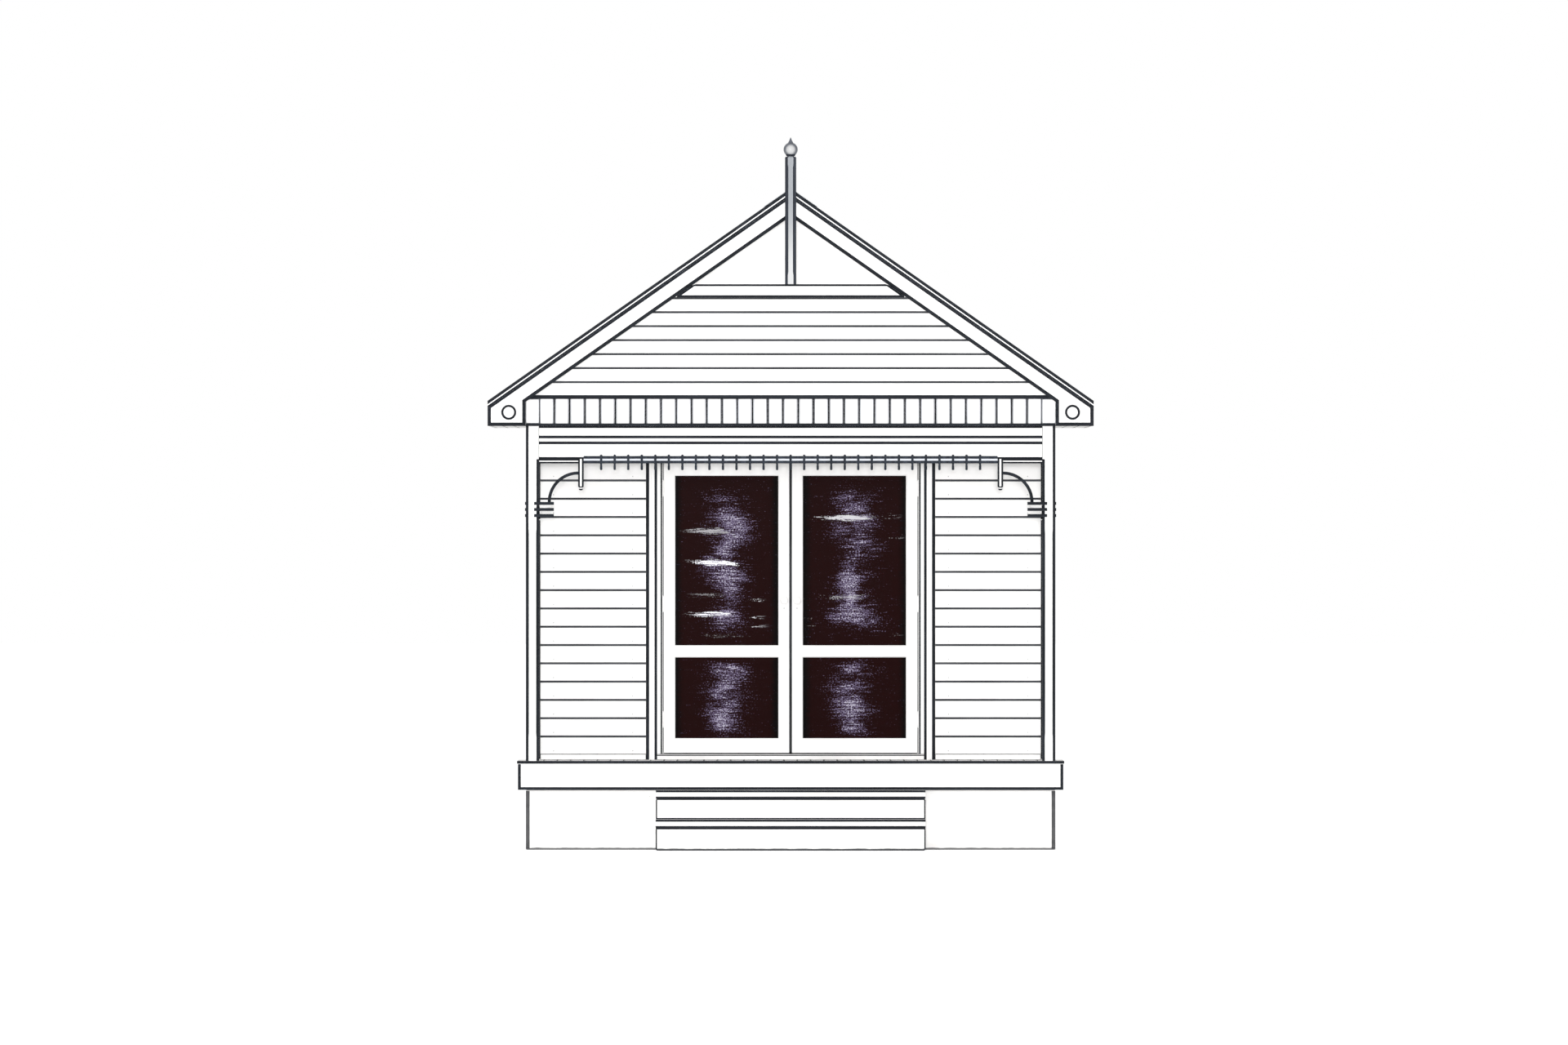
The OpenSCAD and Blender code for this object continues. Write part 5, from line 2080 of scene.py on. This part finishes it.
@dataclass
class Room:
    """The inside: floorboards over a solid floor, and a lined ceiling."""

    plan: Plan
    rows: RowTree
    board_t: float = 0.020
    board_count: int = 28
    arris: float = 0.0015
    frame_gap: float = 0.001
    wall_gap: float = 0.0005
    frame_bevel: float = 0.002

    def make(self) -> None:
        """Builds the floor and dresses the ceiling."""
        low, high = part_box("room_floor")
        plan = self.plan
        half, top = plan.wall_in_x, high.z
        pitch = 2 * half / self.board_count
        t, arris, joint = self.board_t, self.arris, self.arris * 0.4
        outline = [(joint, -t), (pitch - joint, -t), (pitch - joint, -arris),
                   (pitch - joint - arris, 0), (joint + arris, 0), (joint, -arris)]
        board = Workpiece().prism(outline, Vector((-half, plan.y_inside, top)),
                                  BACK * (high.y - plan.y_inside), [2, 4])
        self.rows.of(board, FLOOR, self.board_count, RIGHT * pitch, 97).piece(
            "floorboards", FLOOR, "room_floor")
        slab = Workpiece().block((-half, plan.y_inside, low.z),
                                 (half, high.y, top - t - self.frame_gap))
        sill_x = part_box("door_threshold")[1].x
        slab.block((-sill_x, low.y, low.z), (sill_x, plan.y_inside - self.wall_gap, plan.deck_z))
        slab.bevelled(self.frame_bevel).piece("floor_frame", FLOOR)
        dress(LINING_X, "room_ceiling")


# ---- stage ----


@dataclass
class Stage:
    """The pale floor, the soft light and the camera square to the front."""

    plan: Plan
    lens: float = 800.0
    sensor: float = 36.0
    field_w: float = 10.66
    eye_z: float = 2.226
    aim_x: float = -0.045
    floor_half: float = 400.0
    surround: float = 0.74
    glow: float = 0.60
    key_power: float = 1.05
    front_power: float = 1.65
    fill_power: float = 0.45
    far: float = 2000.0

    def floor(self) -> None:
        """A wide pale floor that glows a little, so that it meets the white beyond."""
        sheet = Sheet("stage_floor")
        diffuse = sheet.add("ShaderNodeBsdfDiffuse", None, {"Color": grey(0.62)})
        glow = sheet.add("ShaderNodeEmission", None, {"Color": grey(1.0), "Strength": self.glow})
        both = sheet.add("ShaderNodeAddShader", None, {0: diffuse, 1: glow})
        sheet.add("ShaderNodeOutputMaterial", None, {"Surface": both})
        mesh = bpy.data.meshes.new("stage_floor")
        h = self.floor_half
        mesh.from_pydata([(-h, -h, 0), (h, -h, 0), (h, h, 0), (-h, h, 0)], [], [(0, 1, 2, 3)])
        mesh.materials.append(sheet.material)
        floor = placed("stage_floor", mesh)
        floor.visible_diffuse = False

    def sun(self, name: str, power: float, spread: float, heading: tuple[float, float, float],
            mirrored: bool = True) -> None:
        """Adds a light from far away.

        Args:
            name: The light's name.
            power: Its strength.
            spread: How wide it is in the sky, in degrees.
            heading: The way in which its light travels.
            mirrored: Whether glass and metal mirror it.
        """
        data = bpy.data.lights.new(name, "SUN")
        data.energy = power
        data.angle = math.radians(spread)
        light = placed(name, data)
        light.rotation_euler = Vector(heading).to_track_quat("-Z", "Y").to_euler()
        light.visible_glossy = mirrored

    def light(self) -> None:
        """A white surround that lights less than it shows, a low broad key and a weak fill."""
        world = bpy.data.worlds.new("surround")
        bpy.context.scene.world = world
        world.use_nodes = True
        world.node_tree.nodes.clear()
        desk = NodeDesk(world.node_tree)
        seen = desk.add("ShaderNodeLightPath", output="Is Camera Ray")
        strength = seen * (1.0 - self.surround) + self.surround
        sky = desk.add("ShaderNodeBackground", None, {"Color": grey(1.0), "Strength": strength})
        desk.add("ShaderNodeOutputWorld", None, {"Surface": sky})
        self.sun("key", self.key_power, 22.0, (0.17, 1.0, -0.085))
        self.sun("front", self.front_power, 3.0, (0.0, 1.0, -0.012), mirrored=False)
        self.sun("fill", self.fill_power, 60.0, (0.35, -1.0, -0.60))
        view = bpy.context.scene.view_settings
        view.view_transform = "Standard"
        view.look = "None"

    def camera(self) -> None:
        """A long lens far in front, so that the front stands almost in elevation."""
        data = bpy.data.cameras.new("camera")
        data.lens, data.sensor_width = self.lens, self.sensor
        data.clip_end = self.far
        camera = placed("camera", data)
        away = self.lens / self.sensor * self.field_w
        camera.location = (self.aim_x, self.plan.y_post - away, self.eye_z)
        camera.rotation_euler = (math.radians(90), 0, 0)
        bpy.context.scene.camera = camera

    def make(self) -> None:
        """Sets the stage."""
        self.floor()
        self.light()
        self.camera()


def main() -> None:
    """Builds every sub-assembly."""
    logging.basicConfig(level=logging.INFO, format="%(name)s: %(message)s")
    plan = Plan.read()
    rows = RowTree()
    for part in (Base(plan, rows), Cladding(plan, rows), Doorway(plan), Verandah(plan, rows),
                 Gables(plan), Roof(plan, rows, CorrugationTree()), Room(plan, rows),
                 Stage(plan)):
        part.make()
        log.info("%s is done", type(part).__name__)


if __name__ == "__main__":
    main()
